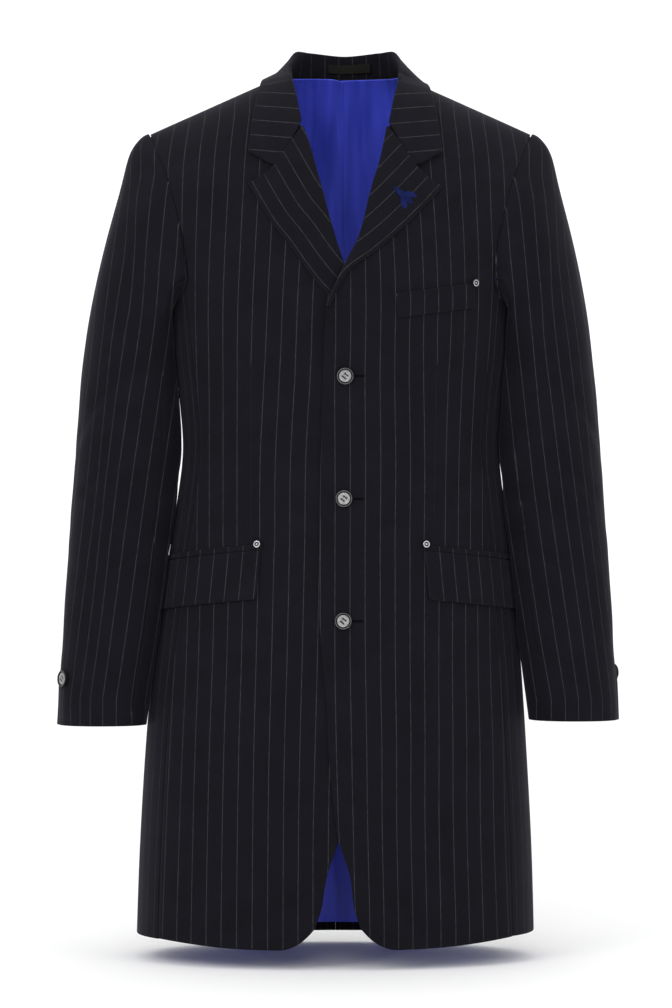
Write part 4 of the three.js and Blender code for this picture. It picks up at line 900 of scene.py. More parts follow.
def sleeveRing(turn, z, side):
    a = turn * 2 * math.pi
    power = 2 / sleeves["roundness"]
    c, s = np.cos(a), np.sin(a)
    w = turn - np.floor(turn)
    fold = 0 * (turn + z)
    for midTurn, level, slant, tall, reach, deep in sleeveFolds:
        r = (w - midTurn + 0.5) % 1 - 0.5
        r = r / reach
        h = z - level - slant * r
        h = h / (tall * np.where(h > 0, 1.2, 0.8))
        fold = fold + deep * bell(h) * bell(r)
    fold = fold + 0.35 * np.sin(z / 17 + 6.28 * turn * 2 + side) * np.sin(6.28 * turn * 3 + z / 60)
    end = sleeves["endLeft"] if side > 0 else sleeves["endRight"]
    turned = (w + 0.5) % 1 - 0.5
    flap = smooth((end + sleeves["ventTall"] - z) / 3) * smooth((turned + 0.2) / 0.02)
    fold = fold - sleeves["vent"] * flap * smooth((0.02 - turned) / 0.01)
    half = along(sleeveRings, z, 3) - cloth / 2 - fold
    half = half + along(sleeveHug, z, 1) * sleeves["hug"][side] * smooth(-c * 1.4)
    deep = along(sleeveRings, z, 4) - cloth / 2 - fold
    x = along(sleeveRings, z, 1) + np.sign(c) * half * np.abs(c) ** power
    y = along(sleeveRings, z, 2) - np.sign(s) * deep * np.abs(s) ** power
    return stack(side * x + sleeves["shift"], y, z)


def clearOfBody(p, side):
    x, y, z = p[..., 0], p[..., 1], p[..., 2]
    deep = np.where(y < 0, along(bodyRings, z, 2), along(bodyRings, z, 3)) + 2
    r = np.clip(np.abs(y) / deep, 0, 0.97)
    edge = side * (halfAt(z) + 1) * hollow(r) + shiftAt(z)
    pocket = smooth((z - sleeves["pocketLow"]) / 30) * smooth((sleeves["pocketTop"] - z) / 20)
    least = side * edge + sleeves["clear"] + cloth / 2 + sleeves["pocketClear"] * pocket
    over = side * x - least
    kept = np.where(over > 4, over, np.where(over < -4, 0, (over + 4) ** 2 / 16))
    moved = stack(side * (least + kept), y, z)
    return np.where((z > chestZ)[..., None], p, moved)


def sleevePoint(turn, t, side):
    share = sleeves["headShare"]
    end = sleeves["endLeft"] if side > 0 else sleeves["endRight"]
    z = mix(sleeves["topZ"], end, np.clip((t - share) / (1 - share), 0, 1))
    lower = clearOfBody(sleeveRing(turn, z, side), side)
    middle, direction, facing = seamStart(turn, side)
    h = np.clip(t / share, 0, 1)[..., None]
    topZ = sleeves["topZ"] + 0 * turn
    low = clearOfBody(sleeveRing(turn, topZ, side), side)
    down = unit(clearOfBody(sleeveRing(turn, topZ - 4, side), side) - low)
    reach = np.linalg.norm(low - middle, axis=-1, keepdims=True)
    pull = np.minimum(sleeves["headRise"], reach * 0.75)
    h2, h3 = h * h, h * h * h
    p = middle * (2 * h3 - 3 * h2 + 1) + direction * (h3 - 2 * h2 + h) * pull * sleeves["headPull"]
    p = p + low * (3 * h2 - 2 * h3) + down * (h3 - h2) * reach * sleeves["headEnd"]
    turned = (turn + 0.5) % 1 - 0.5
    rope = sleeves["rope"] * bell((h[..., 0] - 0.07) / 0.05) * bell(turned / 0.16)
    p = p + facing * rope[..., None]
    bulge = sleeves["bulge"] * bell((h[..., 0] - 0.2) / 0.15) * bell(turned / 0.14)
    p = p + unit(facing + direction) * bulge[..., None]
    p = mix(p, clearOfBody(p, side), smooth(h / 0.04))
    return np.where((t >= share)[..., None], lower, p)


def sleeveSurface(turns, rows, side):
    turn = turns[None, :] + 0 * rows[:, None]
    t = rows[:, None] + 0 * turn
    mid = sleevePoint(turn, t, side)
    e = 0.003
    across = sleevePoint(turn + e, t, side) - sleevePoint(turn - e, t, side)
    drop = sleevePoint(turn, np.minimum(t + e, 1), side) - sleevePoint(turn, np.maximum(t - e, 0), side)
    out = side * unit(np.cross(across, drop))
    middle, direction, facing = seamStart(turns[None, :], side)
    p = armhole(turns[None, :], side)[0]
    w = turns - np.floor(turns)
    turned = smooth(1 - np.abs(w - 0.5) / sleeves["underReach"])[None, :, None]
    share = smooth((0.4 - turned) / 0.25)  # the head's edge turns in beside the body's edge and under it
    radius = sleeves["curl"]
    first = mid[-1:]
    centre = first - facing * radius
    spots, faced = [], []
    bends = (0.5, 1.05, math.pi / 2)
    for angle in bends:
        faced.append(facing * math.cos(angle) - direction * math.sin(angle))
        spots.append(centre + faced[-1] * radius)
    height = ((spots[-1] - p) * facing).sum(axis=-1, keepdims=True)
    low = spots[-1] - facing * (height + sleeves["tuckDeep"] - 1)
    spots.append(low)
    faced.append(-direction)
    for angle in bends:
        spots.append(low - direction * (1 - math.cos(angle)) - facing * math.sin(angle))
        faced.append(facing * math.sin(angle) - direction * math.cos(angle))
    spots.append(spots[-1] - direction * sleeves["tuckIn"])
    faced.append(facing)
    count = len(spots)
    rise = sleeves["flangeRise"] * smooth((turned - 0.5) / 0.4)
    flange, turnedOut = [mix(first, middle, 0.6), middle, middle - direction * rise * 0.6], [facing] * 3
    for k in range(count - 3):  # under the arm the edge laps over the body's edge instead
        flange.append(middle - direction * rise + facing * (0.3 + 0.85 * k))
        turnedOut.append(unit(facing + direction) if k == 0 else direction)
    mid = np.concatenate([mid] + [mix(a, b, share) for a, b in zip(flange, spots)])
    out = np.concatenate([out] + [unit(mix(a, b, share)) for a, b in zip(turnedOut, faced)])
    turn = np.concatenate([turn] + [turn[-1:]] * count)
    t = np.concatenate([t] + [0 * t[-1:]] * count)
    return turn, t, mid, out


def sleeveStripe(mid, turn, side):  # by the view from the front, then by length round the sleeve
    away = view["far"] + mid[..., 1]
    seen = side * (mid[..., 0] - view["aside"]) * view["stripesFar"] / away
    level = view["level"] + (mid[..., 2] - view["level"]) * view["stripesFar"] / away
    places = [along(sleeveStripes[side], level, k + 1) for k in range(sleeveStripeCount)]
    count = acrossStripes(seen, places, range(sleeveStripeCount))
    arc = spread(mid)
    scale = sleeves["stripeScale"] / stripes["pitch"]
    at = np.argmin(np.abs(turn[0] - sleeves["stripeFrom"]))
    before = count[:, [at]] + (arc[:, [at]] - arc) * scale
    count = np.where(turn < turn[0, at], before, count)
    at = np.argmin(np.abs(turn[0] - sleeves["stripeTo"]))
    after = count[:, [at]] - (arc - arc[:, [at]]) * scale
    count = np.where(turn > turn[0, at], after, count)
    return stripes["left"] + side * count * stripes["pitch"]


headRows = mix(sleeves["firstRow"], 1, np.linspace(0, 1, sleeves["headRows"]) ** 1.15) * sleeves["headShare"]
lowRows = np.linspace(sleeves["headShare"], 1, sleeves["lowRows"])[1:]
sleeveRows = np.concatenate([headRows, lowRows])[::-1]
for side, label in ((1, "left"), (-1, "right")):
    for part, first, last, columns in (
            ("top", sleeves["backTurn"] - 1, sleeves["frontTurn"], sleeves["topColumns"]),
            ("under", sleeves["frontTurn"], sleeves["backTurn"], sleeves["underColumns"])):
        turns = np.linspace(first + sleeves["seamTurn"], last - sleeves["seamTurn"], columns)
        turn, t, mid, out = sleeveSurface(turns, sleeveRows, side)
        u = sleeveStripe(mid, turn, side)
        inside = t[:-1, :-1] > sleeves["headShare"] * 0.6
        node = label + "_" + part + "_sleeve"
        obj = shell(node + "_cloth", mid, out, cloth, pattern(u, mid), [woolLeft, satin], inside)
        asCloth(obj, node)
print("sleeves made")

# Collar
# share of the way from the front corner to the middle of the back, then x, y and z of each line
collarSeam = np.array([
    [0, 48.5, -91, -57], [0.13, 59, -62, -30], [0.27, 70, -30, -7], [0.42, 74, 2, 5], [0.58, 66, 30, 10],
    [0.77, 42, 52, 12], [1, 0, 64, 12.5], [1.23, -42, 52, 12]], float)
collarRoll = np.array([
    [0, 48.5, -91, -57], [0.13, 53.8, -74, -31], [0.27, 59, -50, -5], [0.42, 60.5, -16, 21],
    [0.58, 55, 16, 37.5],
    [0.77, 39, 44, 39.8], [1, 0, 61, 37.8], [1.23, -39, 44, 39.8]], float)
collarLeaf = np.array([
    [0, 106, -84, -87], [0.13, 102, -64, -57], [0.27, 96, -38, -21], [0.42, 93, -2, -2], [0.58, 86, 38, -3],
    [0.77, 60, 70, -10], [1, 0, 84, -14], [1.23, -60, 70, -10]], float)
collar = {
    "stand": 0.34, "notchX": 76, "notchZ": -105, "across": 0.74, "fade": 0.12, "away": 3.8, "fuller": 1.4,
    "standAway": 3.2, "inner": 1.2, "columns": 130, "rollSoft": 0.045, "rollRise": 1.4,
    "stripeScale": 0.955, "levelScale": 0.88, "stripeSlope": 0.115, "stripeZ": -84.2, "stripeX": -2.1,
    "frontTo": 0.27, "backFrom": 0.77,
}


def liftOff(p, off):
    x, y, z = p[..., 0], p[..., 1], p[..., 2]
    start = body["ridgeY"]
    chest = np.full(x.shape, float(chestZ))
    ring = np.where(y < start, depthAt(x, chest, -1) + start, depthAt(x, chest, 1) - start)
    ty = (y - start) / (ring + off)
    tz = (z - chestZ) / (ridge(x) - chestZ + off)
    r = np.hypot(ty, tz)
    inside = (r < 1) & (z > chestZ)
    r = np.where(inside, r, 1)
    return stack(x, start + (y - start) / r, chestZ + (z - chestZ) / r)


def collarPoint(u, v):
    side = np.where(u < 0.5, -1, 1)
    k = np.where(u < 0.5, u * 2, (1 - u) * 2)
    lines = (collarSeam, collarRoll, collarLeaf)
    seam, roll, leaf = [stack(*[along(t, k, c) for c in (1, 2, 3)]) for t in lines]
    stand = collar["stand"]
    low = mix(seam, roll, np.clip(v / stand, 0, 1)[..., None])
    q = np.clip((v - stand) / (1 - stand), 0, 1)
    high = mix(roll, leaf, q[..., None])
    across = collar["across"]
    corner = np.clip(1 - k / collar["fade"], 0, 1)
    line = np.where(q < across, q / across, (1 - q) / (1 - across)) * corner
    straight = mix(collarRoll[0, 1:], collarLeaf[0, 1:], across)
    high[..., 0] += (collar["notchX"] - straight[0]) * line
    high[..., 2] += (collar["notchZ"] - straight[2]) * line
    p = np.where((v < stand)[..., None], low, high)
    isLeaf = v > stand
    away = cloth / 2 + np.where(isLeaf, collar["away"] + collar["fuller"] * smooth((k - 0.1) / 0.2) * (1 - v),
                                collar["standAway"])
    away = np.where(isLeaf | (k < 0.3), away, 0)
    full = stack(side * p[..., 0] + body["neckMiddle"], p[..., 1], p[..., 2])
    lying = smooth((0.42 - k) / 0.22) * isLeaf
    onFront = frontPoint(full[..., 0], np.minimum(full[..., 2], ridge(full[..., 0]) - 3), away)
    full = mix(liftOff(full, away), onFront, lying[..., None])
    inner = np.where(isLeaf, 0, -collar["inner"] * smooth((k - 0.02) / 0.2))
    full[..., 0] += inner * side
    return full, k


def collarSurface():
    u = np.linspace(0, 1, collar["columns"])[None, :]
    parts = (np.linspace(0, 0.28, 9), np.linspace(0.29, 0.42, 12), np.linspace(0.44, 1, 24))
    v = np.concatenate(parts)[:, None]
    u, v = np.broadcast_arrays(u, v)
    total = 0
    shifts = np.linspace(-1, 1, 9) * collar["rollSoft"]
    for shift in shifts:
        soft = shift * smooth(np.minimum(v, 1 - v) / collar["rollSoft"])
        total = total + collarPoint(u, v + soft)[0]
    mid = total / len(shifts)
    k = collarPoint(u, v)[1]
    mid[..., 2] += collar["rollRise"] * bell((v - collar["stand"]) / 0.06) * smooth((k - 0.1) / 0.3)
    wave = np.sin(u * 31) * 0.35 + np.sin(u * 13 + 1) * 0.4
    mid[..., 2] += wave * smooth((v - 0.6) / 0.4) * smooth((k - 0.05) / 0.1)
    return u, mid


u, mid = collarSurface()
arc = spread(mid)
k = np.where(u[0] < 0.5, u[0] * 2, (1 - u[0]) * 2)
across = (mid[..., 0] - collar["stripeX"]) * collar["stripeScale"] + stripes["left"]
fromMiddle = np.abs(mid[..., 0] - body["neckMiddle"])
length = (mid[..., 2] + collar["stripeSlope"] * (100 - fromMiddle) - collar["stripeZ"]) * collar["levelScale"]
collarU = across.copy()
for side in (-1, 1):  # straight across behind, level lines in front, and an even run between the two
    ours = (u[0] < 0.5) == (side < 0)
    behind = np.where(ours & (k >= collar["backFrom"]))[0]
    before = np.where(ours & (k <= collar["frontTo"]))[0]
    hinge, front = (behind[0], before[-1]) if side < 0 else (behind[-1], before[0])
    run = np.abs(arc - arc[:, [hinge]])
    total = run[:, [front]]
    need = np.abs(across[:, [hinge]] - stripes["left"]) + total * collar["stripeScale"] + length[:, [front]]
    turns = np.round(np.median(need) / stripes["pitch"])
    atFront = side * (turns * stripes["pitch"] - length[:, [front]]) + stripes["left"]
    between = mix(across[:, [hinge]], atFront, np.clip(run / total, 0, 1))
    infront = side * (turns * stripes["pitch"] - length) + stripes["left"]
    collarU = np.where((ours & (k < collar["backFrom"]))[None], between, collarU)
    collarU = np.where((ours & (k <= collar["frontTo"]))[None], infront, collarU)
obj = shell("collar_cloth", mid, None, cloth, pattern(collarU, mid), [woolLeft])
asCloth(obj, "collar")
print("collar made")

# Lapels
lapelEdges = {
    1: np.array([[0, 112, -126], [0.22, 84, -156], [0.44, 57, -182], [0.62, 34, -201], [0.78, 12, -217],
                 [0.88, -2, -236], [1, -12, -257]], float),
    -1: np.array([[0, -101, -122], [0.16, -87, -147], [0.34, -74, -168], [0.54, -58, -188], [0.76, -39, -215],
                  [0.9, -23, -235], [1, -9, -249]], float),
}
lapels = {
    "lowLeft": -258, "lowRight": -238, "gap": 1.6, "notchX": 79, "notchZ": -107, "across": 0.72, "fade": 0.14,
    "seat": 0.6, "middle": 3.0, "rows": 70, "columns": 40, "turnRadius": 1.9, "turnColumns": 7,
    "turnFrom": -0.9, "turnTo": 1.45, "firstStripe": 4.5,
}


def lapelFlat(u, v, side):
    edge = lapelEdges[side]
    roll = rollLeft if side > 0 else rollRight
    rollZ = mix(fronts["gorgeZ"] - lapels["gap"], lapels["lowLeft"] if side > 0 else lapels["lowRight"], u)
    rollX = along(roll, rollZ, 1)
    outX, outZ = along(edge, u, 1), along(edge, u, 2)
    across = lapels["across"]
    corner = np.clip(1 - u / lapels["fade"], 0, 1)
    line = np.where(v < across, v / across, (1 - v) / (1 - across)) * corner
    x = mix(rollX, outX, v) + (side * lapels["notchX"] + body["neckMiddle"] - mix(rollX, outX, across)) * line
    z = mix(rollZ, outZ, v) + (lapels["notchZ"] - mix(rollZ, outZ, across)) * line
    return x, z


def lapelLoft(u, v, side):
    fuller = 1 - 0.5 * u if side > 0 else np.clip(1 - 1.25 * u, 0, 1)
    rise = np.sin(math.pi * np.clip(v * 1.15, 0, 1))
    return lapels["seat"] + (lapels["seat"] + lapels["middle"] * rise) * fuller


def lapelSurface(side):
    u = np.linspace(1, 0, lapels["rows"])[:, None]
    v = np.linspace(0, 1, lapels["columns"])[None, :] + 0 * u
    u = u + 0 * v
    x, z = lapelFlat(u, v, side)
    mid = frontPoint(x, z, overlapShift(x, z, side) + cloth / 2 + lapelLoft(u, v, side))
    out = outward(x, z, -1)
    inward = unit(mid[:, :1] - mid[:, 1:2])
    first = out[:, :1]
    radius = lapels["turnRadius"]
    arcs = []
    for turn in np.linspace(lapels["turnFrom"], lapels["turnTo"], lapels["turnColumns"]):
        bend = inward * radius * (math.cos(turn) - math.cos(lapels["turnTo"]))
        arcs.append(mid[:, :1] + bend - first * radius * (1 - math.sin(turn)))
    return np.concatenate(arcs + [mid], axis=1)


def edgeDistance(points, edge):
    fine = np.linspace(-0.5, 1, 160)
    lines = []
    for column in (1, 2):  # the edge runs on straight past the notch
        before = edge[0, column] + (edge[0, column] - edge[1, column]) * -fine * 4
        lines.append(np.where(fine < 0, before, along(edge, np.maximum(fine, 0), column)))
    dx = points[..., 0][..., None] - lines[0]
    dz = points[..., 2][..., None] - lines[1]
    return np.hypot(dx, dz).min(axis=-1)


for side, label in ((1, "left"), (-1, "right")):
    mid = lapelSurface(side)
    if side < 0:
        mid = mid[:, ::-1]
    away = edgeDistance(mid, lapelEdges[side])
    across = away - lapels["firstStripe"] + (stripes["left"] if side > 0 else stripes["right"])
    material = woolLeft if side > 0 else woolRight
    obj = shell(label + "_lapel_cloth", mid, None, cloth, pattern(across, mid), [material])
    asCloth(obj, label + "_lapel")
print("lapels made")

# Hip flaps, jettings and chest welt
flaps = {
    "frontLeft": 92, "frontRight": -87, "left": -526, "right": -525, "rise": -14, "long": 150, "tall": 54,
    "lean": 4.5, "corner": 2.5, "seat": 0.7, "flare": 0.8, "lastAngle": math.pi * 0.8, "steps": 240,
    "columns": 60, "rows": 24, "jetRows": 6, "stripeZ": -560.0,
}
jets = {"tall": 6, "deep": 1.4, "extra": 2, "above": 0.45}
welt = {"x": 60, "z": -244, "far": 147, "farZ": -231, "tall": 27, "lean": 2, "seat": 0.6,
        "columns": 40, "rows": 14}


def aroundFront(x, run, z, side, off):
    start = angleAt(x, z)
    steps = flaps["steps"]
    angles = start[..., None] + (flaps["lastAngle"] - start[..., None]) * np.linspace(0, 1, steps)
    p = ringPoint(angles, z[..., None] + 0 * angles, side, off[..., None])
    gone = np.hypot(np.diff(p[..., 0]), np.diff(p[..., 1])).cumsum(axis=-1)
    gone = np.concatenate([np.zeros(gone.shape[:-1] + (1,)), gone], axis=-1)
    tries = zip(run.ravel(), gone.reshape(-1, steps), angles.reshape(-1, steps))
    found = np.array([np.interp(r, g, a) for r, g, a in tries]).reshape(x.shape)
    at = ringPoint(found, z, side, off)
    isFront = np.cos(found) > 0
    onPanel = np.abs(at[..., 0]) < halfAt(z) * 0.93
    sink = np.where(isFront, foldAt(at[..., 0], z, -1), foldAt(at[..., 0], z, 1)) * onPanel
    at[..., 1] += np.where(isFront, sink - overlapShift(at[..., 0], z, side), -sink)
    edge = side * body["frontSeam"] * halfAt(z) + shiftAt(z)
    onFront = np.where(side * at[..., 0] < side * edge, at[..., 0], edge)
    onFront = np.where(isFront, onFront, edge)
    level = np.full(z.shape, flaps["stripeZ"])
    past = np.maximum(girth(found, z) - girth(angleAt(edge, z), z), 0) * stripes["sideScale"]
    return at, frontStripe(onFront, level, side)[0] + side * past


def flapSurface(side):
    s = np.linspace(0, 1, flaps["columns"])[None, :]
    t = np.linspace(0, 1, flaps["rows"])[:, None]
    ends = np.minimum(s, 1 - s) * flaps["long"] / flaps["corner"]
    cut = flaps["corner"] * (1 - np.sqrt(np.clip(1 - np.clip(1 - ends, 0, 1) ** 2, 0, 1)))
    top = (flaps["left"] if side > 0 else flaps["right"]) + flaps["rise"] * s
    z = top - (flaps["tall"] - cut) * (1 - t)
    down = (top - z) / flaps["tall"]
    x = (flaps["frontLeft"] if side > 0 else flaps["frontRight"]) + side * flaps["lean"] * down
    off = flaps["seat"] + cloth / 2 + flaps["flare"] * down
    return aroundFront(x, flaps["long"] * s + 0 * z, z, side, off)


def jetSurface(side):
    s = np.linspace(0, 1, flaps["columns"])[None, :]
    t = np.linspace(0, 1, flaps["jetRows"])[:, None]
    top = (flaps["left"] if side > 0 else flaps["right"]) + flaps["rise"] * s
    z = top + jets["above"] + jets["tall"] * t
    x = (flaps["frontLeft"] if side > 0 else flaps["frontRight"]) - side * jets["extra"] + 0 * z
    long = flaps["long"] + 2 * jets["extra"]
    return aroundFront(x, long * s + 0 * z, z, side, flaps["seat"] + jets["deep"] / 2 + 0 * z)


pocketParts = (("hip_flap", flapSurface, cloth), ("flap_jetting", jetSurface, jets["deep"]))
for side, label, material in ((1, "left", woolLeft), (-1, "right", woolRight)):
    for kind, surface, thick in pocketParts:
        mid, u = surface(side)
        u = np.broadcast_to(u[-1:], u.shape)  # the stripes lean with the flap's front edge
        if side < 0:
            mid, u = mid[:, ::-1], u[:, ::-1]
        node = label + "_" + kind
        obj = shell(node + "_cloth", mid, None, thick, pattern(u, mid), [material])
        asCloth(obj, node)

s = np.linspace(0, 1, welt["columns"])[None, :]
t = np.linspace(0, 1, welt["rows"])[:, None]
z = mix(welt["z"], welt["farZ"], s) - welt["tall"] * (1 - t)
x = mix(welt["x"], welt["far"], s) + welt["lean"] * (1 - t) * (1 - s)
mid = frontPoint(x, z, overlapShift(x, z, 1) + welt["seat"] + cloth / 2)
u = frontStripe(x, z, 1)[0]
obj = shell("chest_welt_cloth", mid, None, cloth, pattern(u, mid), [woolLeft])
asCloth(obj, "chest_welt")
print("pockets made")

# Round pieces
# profiles: radius and height; bands: from and to what radius, and which material
buttons = {
    "sides": 72, "top": 2.86, "seat": 0.7, "holeRadius": 0.9, "holeRing": 2.9, "turn": 0.1,
    "profile": [(0, 0), (7.4, 0), (8.6, 0.7), (9.3, 1.6), (9.5, 2.4), (9.35, 3.3), (8.95, 3.95), (8.55, 4.15),
                (8.1, 4.05), (7.6, 3.4), (7.1, 3.0), (6.6, 3.1), (6.3, 3.3), (5.6, 3.3), (4.0, 3.0),
                (2.0, 2.85), (0, 2.85)],
    "bands": [(0, 6.45, 0), (6.45, 8.3, 1), (8.3, 9.0, 2), (9.0, 10, 1)],
}
rivets = {
    "sides": 48, "seat": 2.9,
    "profile": [(0, 0), (4.3, 0), (4.7, 0.35), (4.7, 0.9), (4.3, 1.5), (3.7, 1.9), (2.6, 1.9), (2.1, 1.7),
                (1.6, 1.65), (1.1, 1.9), (0.6, 2.15), (0, 2.2)],
    "bands": [(0, 1.3, 0), (1.3, 2.4, 1), (2.4, 10, 0)],
}
frontButtons = (("top", 5, -334), ("middle", 3.5, -469), ("lower", 3, -603))
rivetSpots = (("rivet_hip_left", 93, -519), ("rivet_hip_right", -91, -519), ("rivet_chest", 147, -230.5))


def basis(normal):
    up = np.array([0.0, 0.0, 1.0])
    right = unit(np.cross(up, normal))
    return right, np.cross(normal, right), normal


def lathe(name, shape, place, normal, materials):
    right, above, out = basis(normal)
    profile, count = shape["profile"], shape["sides"]
    points = []
    for radius, height in profile[1:-1]:
        turn = np.linspace(0, 2 * math.pi, count, endpoint=False)[:, None]
        points.append(place + radius * (np.cos(turn) * right + np.sin(turn) * above) + height * out)
    rings = len(points)
    points = np.concatenate(points + [place[None] + profile[0][1] * out, place[None] + profile[-1][1] * out])
    at = np.arange(count)
    faces, indices = [], []
    for k in range(rings - 1):
        nextAt = np.roll(at, -1)
        for a, b in zip(at, nextAt):
            faces.append((k * count + a, k * count + b, (k + 1) * count + b, (k + 1) * count + a))
            middle = (profile[k + 1][0] + profile[k + 2][0]) / 2
            uses = [use for low, high, use in shape["bands"] if low <= middle < high]
            indices.append(uses[0] if k > 3 else 1)  # the side and the back are dark
    for a, b in zip(at, np.roll(at, -1)):
        faces.append((rings * count, b, a))
        indices.append(0)
        faces.append((rings * count + 1, (rings - 1) * count + a, (rings - 1) * count + b))
        indices.append(0)
    return makeMesh(name, points, faces, materials, indices)


def tube(points, radius, sides=8):
    points = np.asarray(points, float)
    run = unit(np.gradient(points, axis=0))
    aside = unit(np.cross(run, np.array([0.31, 0.2, 0.93])))
    above = np.cross(run, aside)
    turn = np.linspace(0, 2 * math.pi, sides, endpoint=False)
    ring = np.cos(turn)[None, :, None] * aside[:, None] + np.sin(turn)[None, :, None] * above[:, None]
    radius = np.broadcast_to(radius, (len(points),))[:, None, None]
    verts = (points[:, None] + ring * radius).reshape(-1, 3)
    at = np.arange(len(points) * sides).reshape(len(points), sides)
    a, b = at[:-1], at[1:]
    faces = np.stack([a, np.roll(a, -1, 1), np.roll(b, -1, 1), b], -1).reshape(-1, 4)
    return verts, faces


def joinTubes(name, lines, radius, material, sides=8):
    verts, faces, count = [], [], 0
    for line in lines:
        p, f = tube(line, radius, sides)
        verts.append(p)
        faces.append(f + count)
        count += len(p)
    return makeMesh(name, np.concatenate(verts), np.concatenate(faces), [material])


def sewOn(name, place, normal, turn):  # four dark holes and two runs of thread across them
    right, above, out = basis(normal)
    top = place + out * buttons["top"]
    lines, holes = [], []
    for k in range(4):
        a = turn + k * math.pi / 2
        holes.append(top + buttons["holeRing"] * (math.cos(a) * right + math.sin(a) * above))
    for a, b in ((0, 1), (2, 3)):
        for nudge in (-0.35, 0.0, 0.35):
            side = unit(np.cross(holes[b] - holes[a], out)) * nudge
            t = np.linspace(-0.05, 1.05, 9)[:, None]
            arch = 0.45 * np.sin(math.pi * np.clip(t, 0, 1)) - 0.15
            lines.append(mix(holes[a], holes[b], t) + side + out * arch)
    threads = joinTubes(name + "_thread", lines, 0.24, plain["thread"], 6)
    asPart(threads, None)
    rings = []
    for spot in holes:
        a = np.linspace(0, 2 * math.pi, 17)[:, None]
        rings.append(spot + buttons["holeRadius"] * (np.cos(a) * right + np.sin(a) * above) - out * 0.02)
    wells = joinTubes(name + "_holes", rings, 0.28, plain["hornRim"], 6)
    asPart(wells, None)


for kind, x, z in frontButtons:
    x, z = np.array(float(x)), np.array(float(z))
    name = "front_button_" + kind
    normal = outward(x, z, -1)
    place = frontPoint(x, z, fronts["lift"] + buttons["seat"])
    obj = lathe(name + "_horn", buttons, place, normal, horn)
    asPart(obj, name)
    sewOn(name, place, normal, buttons["turn"])
cuffs = {"up": 52, "turnRight": 0.085, "turnLeft": -0.07}
for side, label in ((-1, "right"), (1, "left")):
    end = sleeves["endLeft"] if side > 0 else sleeves["endRight"]
    share = (end + cuffs["up"] - sleeves["topZ"]) / (end - sleeves["topZ"])
    t = np.array([mix(sleeves["headShare"], 1, share)])
    turn = np.array([cuffs["turnLeft"] if side > 0 else cuffs["turnRight"]])
    spot = sleevePoint(turn, t, side)
    across = sleevePoint(turn + 0.01, t, side) - sleevePoint(turn - 0.01, t, side)
    drop = sleevePoint(turn, t + 0.01, side) - sleevePoint(turn, t - 0.01, side)
    normal = unit(np.cross(across, drop))[0]
    normal = normal if normal[0] * side > 0 else -normal
    place = spot[0] + normal * (cloth / 2 + buttons["seat"])
    name = "cuff_button_" + label
    obj = lathe(name + "_horn", buttons, place, normal, horn)
    asPart(obj, name)
    sewOn(name, place, normal, buttons["turn"])
for name, x, z in rivetSpots:
    x, z = np.array(float(x)), np.array(float(z))
    place = frontPoint(x, z, rivets["seat"])
    obj = lathe(name + "_metal", rivets, place, outward(x, z, -1), [plain["rivetMetal"], plain["hornRim"]])
    asPart(obj, name)
print("buttons and rivets made")

# Buttonholes: worked edges each side of a slit, seen to the right of each button
holes = {"from": 2, "to": 19.5, "half": 1.25, "stitch": 0.5, "slit": 0.15, "thread": 0.26}
for kind, midX, midZ in frontButtons:
    lines = []
    for k in np.arange(holes["from"], holes["to"], holes["stitch"]):
        for way in (-1, 1):
            t = np.linspace(0, 1, 5)
            x = midX + k + holes["slit"] * way + 0 * t
            z = midZ + way * mix(holes["slit"], holes["half"], t)
            off = fronts["lift"] + 0.25 * np.sin(math.pi * np.clip(t + 0.1, 0, 1))
            lines.append(frontPoint(x, z, off))
    t = np.linspace(-1.5, 1.5, 9)
    for k in np.arange(0, 1.8, 0.4):
        lines.append(frontPoint(midX + holes["to"] + k + 0 * t, midZ + t, fronts["lift"] + 0.2 + 0 * t))
    obj = joinTubes("buttonhole_" + kind, lines, holes["thread"], plain["thread"], 5)
    asPart(obj, None)

# Motif on the wearer's left lapel: a plain sprig of satin stitches
motif = {"x": 70, "z": -137, "turn": -0.72, "scale": 0.62, "stitch": 0.42, "lift": 0.2, "thread": 0.24}
# each leaf: where its middle lies along and across the motif, angle, half length, half width
leaves = ((0, 0, 0.0, 19, 6.2), (8, 10, 0.9, 14, 5.4), (6, -11, -0.95, 14, 5.4), (-14, 0, 0.0, 12, 3.6))


def onLapel(x, z):  # depth of the lapel's face at a point, from the nearest of its grid points
    flat = lapelFaces[..., [0, 2]].reshape(-1, 2)
    target = np.stack([x, z], -1)
    away = ((target[:, None] - flat[None]) ** 2).sum(axis=-1)
    nearest = np.argsort(away, axis=1)[:, :4]
    weight = 1 / (np.take_along_axis(away, nearest, 1) + 0.5)
    depth = lapelFaces[..., 1].reshape(-1)[nearest]
    return (depth * weight).sum(axis=1) / weight.sum(axis=1)


lapelFaces = lapelSurface(1)[:, lapels["turnColumns"]:]
lines = []
for startA, startB, angle, long, wide in leaves:
    for k in np.arange(-1, 1, motif["stitch"] * 2 / long):
        reach = wide * math.sqrt(max(0, 1 - k * k))
        t = np.linspace(-1, 1, 5)
        a = startA + math.cos(angle) * k * long - math.sin(angle) * (reach * t + 0.6 * reach * np.abs(t))
        b = startB + math.sin(angle) * k * long * 0.5 + math.cos(angle) * reach * t
        a, b = a * motif["scale"], b * motif["scale"]
        x = motif["x"] + math.cos(motif["turn"]) * a - math.sin(motif["turn"]) * b
        z = motif["z"] + math.sin(motif["turn"]) * a + math.cos(motif["turn"]) * b
        y = onLapel(x, z) - cloth / 2 - motif["lift"] * (1.6 - t * t)
        lines.append(stack(x, y, z))
obj = joinTubes("lapel_motif_thread", lines, motif["thread"], plain["blueThread"], 5)
asPart(obj, None)

